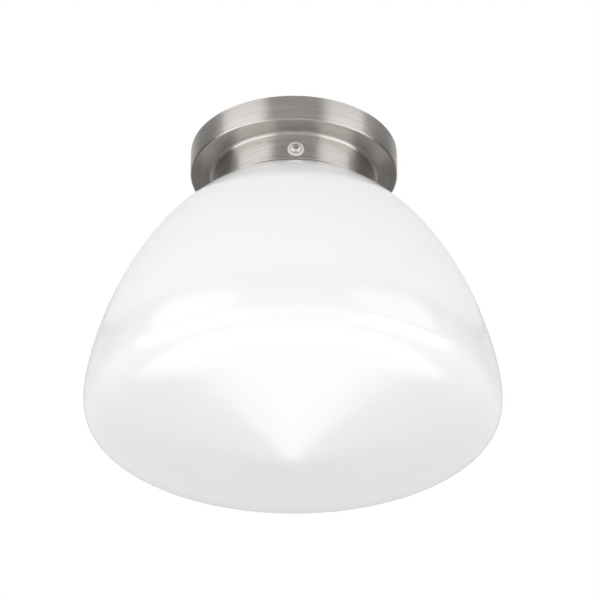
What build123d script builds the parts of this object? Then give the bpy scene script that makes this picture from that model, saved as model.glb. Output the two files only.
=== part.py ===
from build123d import *
import math
import os

# Flush mount ceiling light: a stepped spun canopy whose lower ring, the gallery, holds a closed
# opal glass shade with three clamp screws. Millimetres, +Z up. The origin is the centre of the
# ceiling plane, on the lamp's axis, so that the whole lamp hangs below z = 0.

# --- fits and clearances -------------------------------------------------------------------
THREAD_FIT = 0.05  # radial, between a thread's plain cylinder and its nut or tapping
HOLE_FIT = 0.25  # radial, of a screw in a plain hole
SEAT_GAP = 0.3  # between parts that rest on each other and may move apart
FACE_GAP = 0.05  # between a turning face and what it turns on

# --- canopy --------------------------------------------------------------------------------
CANOPY_DIAMETER = 155.6
CANOPY_DEPTH = 20.8
CANOPY_WALL = 1.0
CANOPY_EDGE = 1.3  # outside radius of the lower edge
GALLERY_DIAMETER = 122.0
GALLERY_HEIGHT = 23.2
GALLERY_ROOT = 3.0  # hollow radius between the step and the gallery
GALLERY_BEAD = 0.7  # radius of the rolled bead at the mouth

# --- glass shade ---------------------------------------------------------------------------
GLASS_WALL = 3.0
SHADE_DIAMETER = 300.0
SHADE_WIDEST_DROP = 168.9  # from the gallery's mouth to the widest circle
SHADE_TIP_DROP = 220.5  # from the gallery's mouth to the point of the cone
SHOULDER_SLOPE = 32.4  # degrees below level, where the glass leaves the gallery
SHOULDER_GAP = 0.8  # below the gallery's mouth, at its outside radius
DOME_TOP_REACH = 76.8  # how far the dome keeps its shoulder's direction
DOME_SIDE_REACH = 27.0  # how far it keeps upright above the widest circle
RIM_REACH = 15.2  # how far it keeps upright below the widest circle
CONE_RADIUS = 112.0
CONE_SLOPE = 11.5  # degrees
CONE_REACH = 35.0  # how far the rim keeps the cone's direction
TIP_ROUND = 20.0
NECK_ROUND = 4.0
LIP_CLEARANCE = 4.0  # between the lip and the gallery's wall
LIP_WIDTH = 4.0
LIP_THICKNESS = 4.0
LIP_EDGE = 1.4
LIP_ROOT = 1.0

# --- clamp screws --------------------------------------------------------------------------
CLAMP_AZIMUTHS = {"front": -90.0, "right": 30.0, "left": 150.0}
CLAMP_DROP = 15.7  # below the canopy's step
CLAMP_HEAD_RADIUS = 4.0
CLAMP_HEAD_HEIGHT = 2.6
CLAMP_HEAD_EDGE = 1.5
RECESS_LENGTH = 4.4
RECESS_WIDTH = 0.9
RECESS_DEPTH = 1.5
CLAMP_WASHER_RADIUS = 6.0
CLAMP_WASHER_THICKNESS = 1.2
CLAMP_WASHER_EDGE = 0.35
CLAMP_WASHER_GAP = 0.15  # flat washer against the round wall
CLAMP_TIP_RADIUS = 1.3
CLAMP_TIP_PROUD = 0.8
CLAMP_TIP_SOCKET = 2.5

# --- metric hardware -----------------------------------------------------------------------
M4_RADIUS = 2.0
M4_NUT_FLATS = 7.0
M4_NUT_HEIGHT = 3.2
M4_WASHER_RADIUS = 4.5
M4_WASHER_THICKNESS = 0.8
M3_RADIUS = 1.5
M3_HEAD_RADIUS = 2.8
M3_HEAD_HEIGHT = 2.0

# --- ceiling strap -------------------------------------------------------------------------
STRAP_LENGTH = 124.0
STRAP_WIDTH = 20.0
STRAP_THICKNESS = 1.5
STRAP_CORNER = 4.0
STRAP_STEP = 4.0  # the ends stand this far below the ceiling
STRAP_FLAT_LENGTH = 78.0
STRAP_RAMP = 4.0
STRAP_BEND = 1.2
CEILING_SLOT_SPACING = 60.0
CEILING_SLOT_LENGTH = 14.0
CEILING_SLOT_WIDTH = 4.6
CABLE_HOLE_RADIUS = 7.0
STUD_SPACING = 100.0
STUD_HEAD_RADIUS = 3.5
STUD_HEAD_HEIGHT = 2.4
STUD_END = 1.3  # stands out below its nut

# --- carrier plate -------------------------------------------------------------------------
PLATE_THICKNESS = 1.2
PLATE_EDGE_GAP = 5.8  # to the canopy's wall
RIB_RADIUS = 1.4
RIB_INSET = 2.6  # inside the gallery's outside radius

# --- lampholder, E27 -----------------------------------------------------------------------
NIPPLE_RADIUS = 5.0
NIPPLE_BORE = 3.7
NIPPLE_ABOVE = 1.2  # past its nut
NIPPLE_BELOW = 7.0  # into the holder's cap
NIPPLE_NUT_FLATS = 14.0
NIPPLE_NUT_HEIGHT = 3.0
NIPPLE_WASHER_RADIUS = 8.0
NIPPLE_WASHER_THICKNESS = 0.8
BUSH_WALL = 0.6
BUSH_FLANGE = 0.9
BUSH_DEPTH = 5.0
HOLDER_RADIUS = 20.5
HOLDER_WALL = 2.2
HOLDER_BOSS_RADIUS = 9.5
HOLDER_BOSS_HEIGHT = 3.0
HOLDER_DOME_DROP = 9.0
HOLDER_CAP_HEIGHT = 28.0
HOLDER_SKIRT_HEIGHT = 33.0
HOLDER_JOINT = 5.0  # how far the skirt's collar stands in the cap
BASE_HEIGHT = 8.0
BASE_SINK = 8.0  # of its top below the top of the collar
BASE_COLLAR_WALL = 1.8
SHELL_BORE = 13.7
SHELL_WALL = 0.6
SHELL_HEIGHT = 20.0
SHELL_FLOOR_BORE = 11.0
CONTACT_WIDTH = 5.0
CONTACT_THICKNESS = 0.5
CONTACT_LENGTH = 12.0
CONTACT_DROP = 2.6
TERMINAL_OFFSET = 9.2
TERMINAL_SIZE = 6.0
TERMINAL_HEIGHT = 6.0
TERMINAL_BORE = 1.2
TERMINAL_SCREW_RADIUS = 1.25
TERMINAL_SCREW_HEAD = 2.0

# --- bulb ----------------------------------------------------------------------------------
BULB_LENGTH = 107.0
BULB_RADIUS = 30.0
BULB_CAP_RADIUS = 13.2
BULB_CAP_LENGTH = 26.0
BULB_CAP_WALL = 0.5
BULB_CONTACT_RADIUS = 4.8
BULB_CONTACT_HEIGHT = 1.4
BULB_INSULATOR_HEIGHT = 3.4
BULB_CAP_MOUTH = 10.5
BULB_COLLAR_NECK = 14.2
BULB_COLLAR_LENGTH = 34.0
BULB_PLUG_LENGTH = 6.0
BULB_WALL = 1.2

# --- terminal block and earth --------------------------------------------------------------
BLOCK_OFFSET = 34.0  # from the axis, towards the back
BLOCK_LENGTH = 44.0
BLOCK_WIDTH = 15.0
BLOCK_BASE_HEIGHT = 9.0
BLOCK_EAR_HEIGHT = 4.0
BLOCK_PITCH = 10.0
BLOCK_TOWER_RADIUS = 3.6
BLOCK_TOWER_HEIGHT = 13.0
BLOCK_EAR_INSET = 3.6
BARREL_RADIUS = 2.4
BARREL_BORE = 1.5
BARREL_LENGTH = 14.0
BARREL_RISE = 5.0  # of its axis over the plate
BARREL_SCREW_RADIUS = 1.3
BARREL_SCREW_SPACING = 8.0
EARTH_X = 37.0
EARTH_Y = 9.0
TAG_RADIUS = 4.0
TAG_THICKNESS = 0.8
TAG_BARREL_LENGTH = 5.0
TAG_BARREL_WALL = 0.5

# --- leads ---------------------------------------------------------------------------------
LEAD_RADIUS = 1.0
CORE_RADIUS = 0.6
CORE_LENGTH = 5.0
LEAD_SPREAD = 1.3  # of the line and neutral from the axis, in the nipple

# --- places that follow from the sizes -----------------------------------------------------
canopy_radius = CANOPY_DIAMETER / 2
gallery_radius = GALLERY_DIAMETER / 2
gallery_inside = gallery_radius - CANOPY_WALL
mouth_z = -CANOPY_DEPTH - GALLERY_HEIGHT
plate_bottom = -CANOPY_DEPTH + CANOPY_WALL
plate_top = plate_bottom + PLATE_THICKNESS
plate_radius = canopy_radius - CANOPY_WALL - PLATE_EDGE_GAP
clamp_z = -CANOPY_DEPTH - CLAMP_DROP
lip_radius = gallery_inside - LIP_CLEARANCE
neck_radius = lip_radius - LIP_WIDTH
lip_bottom = clamp_z + M4_RADIUS + SEAT_GAP
lip_top = lip_bottom + LIP_THICKNESS
stud_nut_bottom = plate_bottom - M4_WASHER_THICKNESS - M4_NUT_HEIGHT
nipple_top = plate_top + NIPPLE_WASHER_THICKNESS + NIPPLE_NUT_HEIGHT + NIPPLE_ABOVE
cap_bottom = plate_bottom - HOLDER_CAP_HEIGHT
skirt_bottom = cap_bottom - HOLDER_SKIRT_HEIGHT
base_top = cap_bottom + HOLDER_JOINT - BASE_SINK
base_bottom = base_top - BASE_HEIGHT
collar_radius = HOLDER_RADIUS - HOLDER_WALL - SEAT_GAP
base_radius = collar_radius - BASE_COLLAR_WALL
shell_radius = SHELL_BORE + SHELL_WALL
bulb_top = base_bottom - CONTACT_THICKNESS - CONTACT_DROP - FACE_GAP
bulb_cap_bottom = bulb_top - BULB_CAP_LENGTH
barrel_z = plate_top + BARREL_RISE


# --- helpers -------------------------------------------------------------------------------
def section(points, rounds=None):
    """Closed outline through the corners, with the given corners rounded."""
    face = make_face(Polyline(*points, close=True)).face()
    for index, radius in (rounds or {}).items():
        corner = face.vertices().sort_by_distance((*points[index], 0))[0]
        face = face.fillet_2d(radius, [corner])
    return face


def turned(face):
    """Solid of revolution about Z. The outline's X is the radius and its Y the height."""
    return revolve(Plane.XZ * face, Axis.Z)


def tube(outer, inner, low, high):
    """Plain round tube about Z, or a disc where inner is 0."""
    body = Pos(0, 0, (low + high) / 2) * Cylinder(outer, high - low)
    if inner:
        body -= Pos(0, 0, (low + high) / 2) * Cylinder(inner, 2 * (high - low))
    return body


def hex_nut(flats, low, height, bore):
    """Hexagon nut about Z."""
    body = Pos(0, 0, low) * extrude(RegularPolygon(flats / 2, 6, major_radius=False), height)
    return body - tube(bore, 0, low - height, low + 2 * height)


def pan_head(radius, seat, height, edge):
    """Round screw head about Z, standing up from its seat."""
    outline = [(0, seat), (radius, seat), (radius, seat + height), (0, seat + height)]
    return turned(section(outline, {2: edge}))


def slotted(shape, top, radius, depth=0.8, width=0.7):
    """The same screw with a straight driver slot cut into its top."""
    return shape - Pos(0, 0, top) * Box(2.4 * radius, width, 2 * depth)


def on_clamp(shape, azimuth):
    """Turns a shape made about Z, with Z as its distance from the lamp's axis, to one clamp."""
    return Rot(0, 0, azimuth) * Pos(0, 0, clamp_z) * Rot(0, 90, 0) * shape


def at_studs(shape):
    """The shape at both stud positions of the ceiling strap."""
    return [Pos(side * STUD_SPACING / 2, 0, 0) * shape for side in (-1, 1)]


# --- canopy and carrier plate --------------------------------------------------------------
def canopy():
    """Spun shell: outer wall, step, gallery wall with its rolled bead, three screw holes."""
    inner = canopy_radius - CANOPY_WALL
    outline = [
        (canopy_radius, 0),
        (canopy_radius, -CANOPY_DEPTH),
        (gallery_radius, -CANOPY_DEPTH),
        (gallery_radius, mouth_z + GALLERY_BEAD),
        (gallery_inside, mouth_z + GALLERY_BEAD),
        (gallery_inside, plate_bottom),
        (inner, plate_bottom),
        (inner, 0),
    ]
    rounds = {1: CANOPY_EDGE, 2: GALLERY_ROOT, 5: GALLERY_ROOT + CANOPY_WALL}
    rounds[6] = max(CANOPY_EDGE - CANOPY_WALL, 0.2)
    bead_radius = gallery_radius - CANOPY_WALL / 2
    bead = Pos(0, 0, mouth_z + GALLERY_BEAD) * Torus(bead_radius, GALLERY_BEAD)
    body = turned(section(outline, rounds)) + bead
    hole = tube(M4_RADIUS + HOLE_FIT, 0, gallery_radius - 5, gallery_radius + 5)
    for azimuth in CLAMP_AZIMUTHS.values():
        body -= on_clamp(hole, azimuth)
    return body


def carrier_plate():
    """Pressed disc welded inside the step, with a raised ring rib."""
    rib_radius = gallery_radius - RIB_INSET
    middle = (plate_bottom + plate_top) / 2
    disc = Pos(plate_radius / 2, middle) * Rectangle(plate_radius, PLATE_THICKNESS)
    rib = Pos(rib_radius, plate_bottom) * Circle(RIB_RADIUS + PLATE_THICKNESS)
    upper = Pos(rib_radius, plate_bottom + RIB_RADIUS * 2) * Rectangle(RIB_RADIUS * 8, RIB_RADIUS * 4)
    groove = Pos(rib_radius, plate_bottom) * Circle(RIB_RADIUS)
    body = revolve(Plane.XZ * (disc + (rib & upper) - groove), Axis.Z)
    body -= tube(NIPPLE_RADIUS + HOLE_FIT, 0, plate_bottom - 1, plate_top + 1)
    stud_hole = tube(M4_RADIUS + HOLE_FIT, 0, plate_bottom - 1, plate_top + 1)
    body -= at_studs(stud_hole)
    body -= Pos(EARTH_X, EARTH_Y, 0) * tube(M4_RADIUS + THREAD_FIT, 0, plate_bottom - 1, plate_top + 1)
    pilot = tube(M3_RADIUS + THREAD_FIT, 0, plate_bottom - 1, plate_top + 1)
    for side in (-1, 1):
        body -= Pos(side * ear_offset(), BLOCK_OFFSET, 0) * pilot
    return body


# --- ceiling strap and its hardware --------------------------------------------------------
def ceiling_strap():
    """Steel strip with ends set down from the ceiling, two slots and a cable hole."""
    flat, end, low = STRAP_FLAT_LENGTH / 2, STRAP_LENGTH / 2, -STRAP_STEP
    top = [(-end, low), (-flat - STRAP_RAMP, low), (-flat, 0), (flat, 0), (flat + STRAP_RAMP, low), (end, low)]
    under = [(x, z - STRAP_THICKNESS) for x, z in reversed(top)]
    bends = {index: STRAP_BEND for index in (1, 2, 3, 4)}
    bends.update({index: STRAP_BEND for index in (7, 8, 9, 10)})
    body = extrude(Plane.XZ * section(top + under, bends), STRAP_WIDTH / 2, both=True)
    corners = body.edges().filter_by(Axis.Z).filter_by(lambda edge: abs(edge.center().X) > end - 0.1)
    body = fillet(corners, STRAP_CORNER)
    slot = extrude(SlotOverall(CEILING_SLOT_LENGTH, CEILING_SLOT_WIDTH), 2 * STRAP_THICKNESS, both=True)
    for side in (-1, 1):
        body -= Pos(side * CEILING_SLOT_SPACING / 2, 0, 0) * slot
    body -= tube(CABLE_HOLE_RADIUS, 0, -STRAP_THICKNESS - 1, 1)
    body -= at_studs(tube(M4_RADIUS + THREAD_FIT, 0, low - STRAP_THICKNESS - 1, low + 1))
    return body


def strap_screws():
    """Two screws that hang down from the strap's ends, through the carrier plate."""
    seat = -STRAP_STEP
    screw = tube(M4_RADIUS, 0, stud_nut_bottom - STUD_END, seat)
    screw += pan_head(STUD_HEAD_RADIUS, seat, STUD_HEAD_HEIGHT, 0.8)
    return at_studs(slotted(screw, seat + STUD_HEAD_HEIGHT, STUD_HEAD_RADIUS))


def strap_locknuts():
    """Nuts that lock the two screws under the strap's ends."""
    low = -STRAP_STEP - STRAP_THICKNESS - M4_NUT_HEIGHT
    return at_studs(hex_nut(M4_NUT_FLATS, low, M4_NUT_HEIGHT, M4_RADIUS + THREAD_FIT))


def canopy_nut_washers():
    """Washers under the carrier plate."""
    low = plate_bottom - M4_WASHER_THICKNESS
    return at_studs(tube(M4_WASHER_RADIUS, M4_RADIUS + HOLE_FIT, low, plate_bottom))


def canopy_nuts():
    """Nuts that hold the carrier plate, and with it the canopy, against the ceiling."""
    return at_studs(hex_nut(M4_NUT_FLATS, stud_nut_bottom, M4_NUT_HEIGHT, M4_RADIUS + THREAD_FIT))


# --- clamp screws --------------------------------------------------------------------------
def clamp_weld_nuts():
    """Nuts welded inside the gallery's round wall, behind each screw hole."""
    corner = M4_NUT_FLATS / math.sqrt(3)
    face = math.sqrt(gallery_inside**2 - corner**2)
    nut = Rot(0, 0, 30) * hex_nut(M4_NUT_FLATS, face - M4_NUT_HEIGHT, M4_NUT_HEIGHT, M4_RADIUS + THREAD_FIT)
    return [on_clamp(nut, azimuth) for azimuth in CLAMP_AZIMUTHS.values()]


def clamp_levels():
    """Distances from the lamp's axis: soft tip, steel end, washer's inner face, head's seat."""
    tip = neck_radius + SEAT_GAP
    washer = gallery_radius + CLAMP_WASHER_GAP
    return tip, tip + CLAMP_TIP_PROUD, washer, washer + CLAMP_WASHER_THICKNESS + FACE_GAP


def clamp_screw(azimuth):
    """Pan head screw with a cross recess, and a socket for its soft tip."""
    _, end, _, seat = clamp_levels()
    outline = [(0, end), (M4_RADIUS, end), (M4_RADIUS, seat + 1), (0, seat + 1)]
    body = turned(section(outline, {1: 0.4}))
    body += pan_head(CLAMP_HEAD_RADIUS, seat, CLAMP_HEAD_HEIGHT, CLAMP_HEAD_EDGE)
    face = seat + CLAMP_HEAD_HEIGHT
    for turn in (45, 135):
        bar = Box(RECESS_LENGTH, RECESS_WIDTH, 2 * RECESS_DEPTH)
        body -= Pos(0, 0, face) * Rot(0, 0, turn) * bar
    body -= tube(CLAMP_TIP_RADIUS, 0, end - 1, end + CLAMP_TIP_SOCKET)
    return on_clamp(body, azimuth)


def clamp_tip(azimuth):
    """Soft pellet in the screw's end, which bears on the glass."""
    tip, end, _, _ = clamp_levels()
    inner = end + CLAMP_TIP_SOCKET
    outline = [(0, tip), (CLAMP_TIP_RADIUS, tip), (CLAMP_TIP_RADIUS, inner), (0, inner)]
    return on_clamp(turned(section(outline, {1: 0.5})), azimuth)


def clamp_washer(azimuth):
    """Broad plastic washer between the head and the gallery."""
    _, _, low, _ = clamp_levels()
    high = low + CLAMP_WASHER_THICKNESS
    bore = M4_RADIUS + HOLE_FIT
    outline = [(bore, low), (CLAMP_WASHER_RADIUS, low), (CLAMP_WASHER_RADIUS, high), (bore, high)]
    return on_clamp(turned(section(outline, {1: CLAMP_WASHER_EDGE, 2: CLAMP_WASHER_EDGE})), azimuth)


# --- glass shade ---------------------------------------------------------------------------
def eased(start, leave, end, arrive, inset):
    """Smooth line between two points. leave and arrive are a heading in degrees and a reach."""
    places, headings = [], []
    for (x, y), (degrees, _) in ((start, leave), (end, arrive)):
        heading = math.radians(degrees)
        places.append((x + inset * math.sin(heading), y - inset * math.cos(heading)))
        headings.append((math.cos(heading), math.sin(heading)))
    share = math.dist(*places) / math.dist(start, end)
    reaches = (share * leave[1], -share * arrive[1])
    handles = [
        (x + reach * along, y + reach * up) for (x, y), (along, up), reach in zip(places, headings, reaches)
    ]
    return Bezier(places[0], *handles, places[1])


def shade_line(inset):
    """The glass from the top of its neck to its tip: its outside, or that line set in."""
    slope, cone = math.radians(SHOULDER_SLOPE), math.radians(CONE_SLOPE)
    widest = (SHADE_DIAMETER / 2, mouth_z - SHADE_WIDEST_DROP)
    point_z = mouth_z - SHADE_TIP_DROP
    start = (gallery_radius, mouth_z - SHOULDER_GAP)
    rim_end = (CONE_RADIUS, point_z + CONE_RADIUS * math.tan(cone))
    turn = math.pi / 2 - slope
    flare = (gallery_radius - neck_radius - NECK_ROUND * (1 - math.cos(turn))) / math.cos(slope)
    neck_z = start[1] + flare * math.sin(slope) + NECK_ROUND * math.sin(turn)
    neck = Line((neck_radius - inset, lip_top), (neck_radius - inset, neck_z))
    hollow = JernArc(neck @ 1, (0, -1), NECK_ROUND + inset, math.degrees(turn))
    dome = eased(start, (-SHOULDER_SLOPE, DOME_TOP_REACH), widest, (-90, DOME_SIDE_REACH), inset)
    rim = eased(widest, (-90, RIM_REACH), rim_end, (180 + CONE_SLOPE, CONE_REACH), inset)
    centre_z = point_z + TIP_ROUND / math.cos(cone)
    tip = [
        ((TIP_ROUND - inset) * math.sin(cone * part), centre_z - (TIP_ROUND - inset) * math.cos(cone * part))
        for part in (1, 0.5, 0)
    ]
    return [neck, hollow, Line(hollow @ 1, dome @ 0), dome, rim, Line(rim @ 1, tip[0]), ThreePointArc(*tip)]


def glass_shade():
    """Blown opal glass of even wall: lip, neck, dome, rounded rim and conical bottom."""
    outside, inside = shade_line(0), shade_line(GLASS_WALL)
    ends = [Line(outside[0] @ 0, inside[0] @ 0), Line(outside[-1] @ 1, inside[-1] @ 1)]
    wall = make_face(Curve() + outside + inside + ends)
    lip_width = LIP_WIDTH + GLASS_WALL / 2
    lip = Pos(lip_radius - lip_width / 2, (lip_top + lip_bottom) / 2) * Rectangle(lip_width, LIP_THICKNESS)
    face = (lip + wall).face()
    for x, y, radius in (
        (lip_radius, lip_top, LIP_EDGE),
        (lip_radius, lip_bottom, LIP_EDGE),
        (neck_radius, lip_bottom, LIP_ROOT),
        (neck_radius - GLASS_WALL, lip_top, LIP_EDGE),
    ):
        corner = face.vertices().sort_by_distance((x, y, 0))[0]
        face = face.fillet_2d(radius, [corner])
    return turned(face)


# --- lampholder ----------------------------------------------------------------------------
def lampholder_nipple():
    """Threaded tube that carries the holder and lets the leads through."""
    return tube(NIPPLE_RADIUS, NIPPLE_BORE, plate_bottom - NIPPLE_BELOW, nipple_top)


def nipple_bush():
    """Flanged bush in the nipple's upper end, which keeps its edge off the leads."""
    bore = NIPPLE_BORE - BUSH_WALL
    body = tube(NIPPLE_BORE, bore, nipple_top - BUSH_DEPTH, nipple_top)
    return body + tube(NIPPLE_RADIUS, bore, nipple_top, nipple_top + BUSH_FLANGE)


def nipple_lock_washer():
    """Toothed washer between the nut and the plate."""
    high = plate_top + NIPPLE_WASHER_THICKNESS
    body = tube(NIPPLE_WASHER_RADIUS, NIPPLE_RADIUS + HOLE_FIT, plate_top, high)
    notch = Pos(NIPPLE_WASHER_RADIUS, 0, high) * Box(2, 1, 4)
    return body - [Rot(0, 0, 30 * step) * notch for step in range(12)]


def nipple_nut():
    """Thin hexagon nut on the nipple, on top of the plate."""
    low = plate_top + NIPPLE_WASHER_THICKNESS
    return hex_nut(NIPPLE_NUT_FLATS, low, NIPPLE_NUT_HEIGHT, NIPPLE_RADIUS + THREAD_FIT)


def lampholder_cap():
    """Domed cap with a threaded boss that seats under the plate."""
    bore = NIPPLE_RADIUS + THREAD_FIT
    inner = HOLDER_RADIUS - HOLDER_WALL
    boss = plate_bottom - HOLDER_BOSS_HEIGHT
    dome = plate_bottom - HOLDER_DOME_DROP
    roof = plate_bottom - NIPPLE_BELOW + FACE_GAP
    outline = [
        (bore, plate_bottom),
        (HOLDER_BOSS_RADIUS, plate_bottom),
        (HOLDER_BOSS_RADIUS, boss),
        (HOLDER_RADIUS, dome),
        (HOLDER_RADIUS, cap_bottom),
        (inner, cap_bottom),
        (inner, dome - HOLDER_WALL),
        (HOLDER_BOSS_RADIUS + HOLDER_WALL, roof),
        (bore, roof),
    ]
    return turned(section(outline, {1: 0.8, 2: 1.5, 3: 4.0, 6: 2.0}))


def lampholder_base():
    """Insulating disc inside the skirt's collar, which carries the contacts."""
    body = tube(base_radius, 0, base_bottom, base_top)
    slot = Box(CONTACT_THICKNESS + 0.4, CONTACT_WIDTH + 0.4, 3 * BASE_HEIGHT)
    for side in (-1, 1):
        body -= Pos(side * TERMINAL_OFFSET, 0, base_bottom) * slot
    return body


def lampholder_skirt():
    """Outer shell: a collar that stands in the cap, a shoulder, and a ribbed skirt."""
    inner = shell_radius + SEAT_GAP
    top = cap_bottom + HOLDER_JOINT
    outline = [
        (base_radius + SEAT_GAP / 2, top),
        (collar_radius, top),
        (collar_radius, cap_bottom - SEAT_GAP),
        (HOLDER_RADIUS, cap_bottom - SEAT_GAP),
        (HOLDER_RADIUS, skirt_bottom),
        (inner, skirt_bottom),
        (inner, base_bottom - SEAT_GAP / 2),
        (base_radius + SEAT_GAP / 2, base_bottom - SEAT_GAP / 2),
    ]
    body = turned(section(outline, {3: 0.8, 4: 1.2, 5: 1.0}))
    groove_height = HOLDER_SKIRT_HEIGHT * 0.6
    groove = Pos(HOLDER_RADIUS + 0.6, 0, (cap_bottom + skirt_bottom) / 2) * Box(2.4, 1.6, groove_height)
    return body - [Rot(0, 0, 20 * step) * groove for step in range(18)]


def lampholder_shell():
    """Screw shell that takes the bulb's cap, with its floor under the base."""
    high = base_bottom - SEAT_GAP
    body = tube(shell_radius, SHELL_BORE, high - SHELL_HEIGHT, high)
    return body + tube(shell_radius, SHELL_FLOOR_BORE, high - SHELL_WALL, high)


def contact_strip(points, width):
    """Bent strip: a side profile in X and Z, thickened downwards and spread along Y."""
    under = [(x, z - CONTACT_THICKNESS) for x, z in reversed(points)]
    return extrude(Plane.XZ * section(points + under), width / 2, both=True)


def centre_contact():
    """Sprung tongue under the base, with a leg up through it to one terminal."""
    reach = CONTACT_LENGTH / 2
    low = base_bottom - CONTACT_DROP
    points = [(-TERMINAL_OFFSET, base_bottom), (-reach, base_bottom), (-2.4, low), (2.4, low), (reach, low + 1)]
    leg = Pos(-TERMINAL_OFFSET, 0, (base_top + base_bottom - CONTACT_THICKNESS) / 2)
    height = base_top - base_bottom + CONTACT_THICKNESS
    return contact_strip(points, CONTACT_WIDTH) + leg * Box(CONTACT_THICKNESS, CONTACT_WIDTH, height)


def side_contact():
    """Strip from the screw shell's floor up through the base to the other terminal."""
    high = base_bottom - SEAT_GAP
    foot = Pos(shell_radius - 4, 0, high + SEAT_GAP / 2) * Box(3.5, CONTACT_WIDTH, SEAT_GAP)
    foot += Pos(TERMINAL_OFFSET + 0.5, 0, high + SEAT_GAP / 2) * Box(3.5, CONTACT_WIDTH, SEAT_GAP)
    leg = Pos(TERMINAL_OFFSET, 0, (base_top + high) / 2)
    return foot + leg * Box(CONTACT_THICKNESS, CONTACT_WIDTH, base_top - high)


def lampholder_terminals():
    """Two brass clamps on the base, bored from the top for the leads' ends."""
    middle = base_top + TERMINAL_HEIGHT / 2
    block = Pos(0, 0, middle) * Box(TERMINAL_SIZE, TERMINAL_SIZE, TERMINAL_HEIGHT)
    block -= tube(TERMINAL_BORE, 0, base_top + 1, base_top + 2 * TERMINAL_HEIGHT)
    block -= Pos(0, 0, middle) * Rot(0, 90, 0) * tube(TERMINAL_SCREW_RADIUS + THREAD_FIT, 0, 0, TERMINAL_SIZE)
    return [Pos(TERMINAL_OFFSET, 0, 0) * block, Rot(0, 0, 180) * Pos(TERMINAL_OFFSET, 0, 0) * block]


def lampholder_terminal_screws():
    """The two screws that press the leads' ends in those clamps."""
    start, seat = CORE_RADIUS + FACE_GAP, TERMINAL_SIZE / 2
    screw = tube(TERMINAL_SCREW_RADIUS, 0, start, seat + 0.5)
    screw += pan_head(TERMINAL_SCREW_HEAD, seat + 0.4, 1.2, 0.3)
    screw = slotted(screw, seat + 1.6, TERMINAL_SCREW_HEAD, 0.5, 0.5)
    middle = base_top + TERMINAL_HEIGHT / 2
    placed = Pos(TERMINAL_OFFSET, 0, middle) * Rot(0, 90, 0) * screw
    return [placed, Rot(0, 0, 180) * placed]


# --- bulb ----------------------------------------------------------------------------------
def bulb_contact():
    """Tip contact of the bulb's cap."""
    low = bulb_top - BULB_CONTACT_HEIGHT
    outline = [(0, low), (BULB_CONTACT_RADIUS, low), (BULB_CONTACT_RADIUS, bulb_top), (0, bulb_top)]
    return turned(section(outline, {2: 0.8}))


def bulb_insulator():
    """Glass cone between the tip contact and the cap's mouth."""
    high = bulb_top - BULB_CONTACT_HEIGHT
    low = high - BULB_INSULATOR_HEIGHT
    edge = BULB_CAP_MOUTH - FACE_GAP
    return turned(section([(0, low), (edge, low), (BULB_CONTACT_RADIUS + 0.6, high), (0, high)]))


def bulb_cap():
    """Thin screw cap: its upper edge is drawn in to hold the insulator."""
    high = bulb_top - BULB_CONTACT_HEIGHT - BULB_INSULATOR_HEIGHT + 0.6
    shoulder = high - 2.6
    inner = BULB_CAP_RADIUS - BULB_CAP_WALL
    outline = [
        (BULB_CAP_MOUTH, high),
        (BULB_CAP_MOUTH + BULB_CAP_WALL, high),
        (BULB_CAP_RADIUS, shoulder),
        (BULB_CAP_RADIUS, bulb_cap_bottom),
        (inner, bulb_cap_bottom),
        (inner, shoulder),
        (BULB_CAP_MOUTH, high - BULB_CAP_WALL),
    ]
    return turned(section(outline, {2: 0.8}))


def bulb_collar():
    """Moulded body between the cap and the envelope, with a plug that fills the cap."""
    plug = BULB_CAP_RADIUS - BULB_CAP_WALL - FACE_GAP
    low = bulb_cap_bottom - BULB_COLLAR_LENGTH
    top = bulb_cap_bottom + BULB_PLUG_LENGTH
    wide = BULB_RADIUS - 0.4
    edge = make_face(
        [
            Line((0, top), (plug, top)),
            Line((plug, top), (plug, bulb_cap_bottom)),
            Line((plug, bulb_cap_bottom), (BULB_COLLAR_NECK, bulb_cap_bottom)),
            Bezier(
                (BULB_COLLAR_NECK, bulb_cap_bottom),
                (BULB_COLLAR_NECK, bulb_cap_bottom - BULB_COLLAR_LENGTH / 2),
                (wide - 2, low + BULB_COLLAR_LENGTH / 3),
                (wide, low),
            ),
            Line((wide, low), (0, low)),
            Line((0, low), (0, top)),
        ]
    )
    return turned(edge)


def bulb_envelope():
    """Opal bowl that closes the bulb at the bottom."""
    low = bulb_top - BULB_LENGTH
    centre = low + BULB_RADIUS
    high = bulb_cap_bottom - BULB_COLLAR_LENGTH
    bowl = Pos(0, 0, centre) * Sphere(BULB_RADIUS)
    bowl -= Pos(0, 0, centre) * Sphere(BULB_RADIUS - BULB_WALL)
    bowl = split(bowl, Plane((0, 0, centre)), keep=Keep.BOTTOM)
    return bowl + tube(BULB_RADIUS, BULB_RADIUS - BULB_WALL, centre, high)


# --- terminal block ------------------------------------------------------------------------
def pole_places():
    """X of the three poles: line, neutral and earth."""
    return [pole * BLOCK_PITCH for pole in (-1, 0, 1)]


def ear_offset():
    """X of the two fixing holes in the block's ears."""
    return BLOCK_LENGTH / 2 - BLOCK_EAR_INSET


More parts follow.
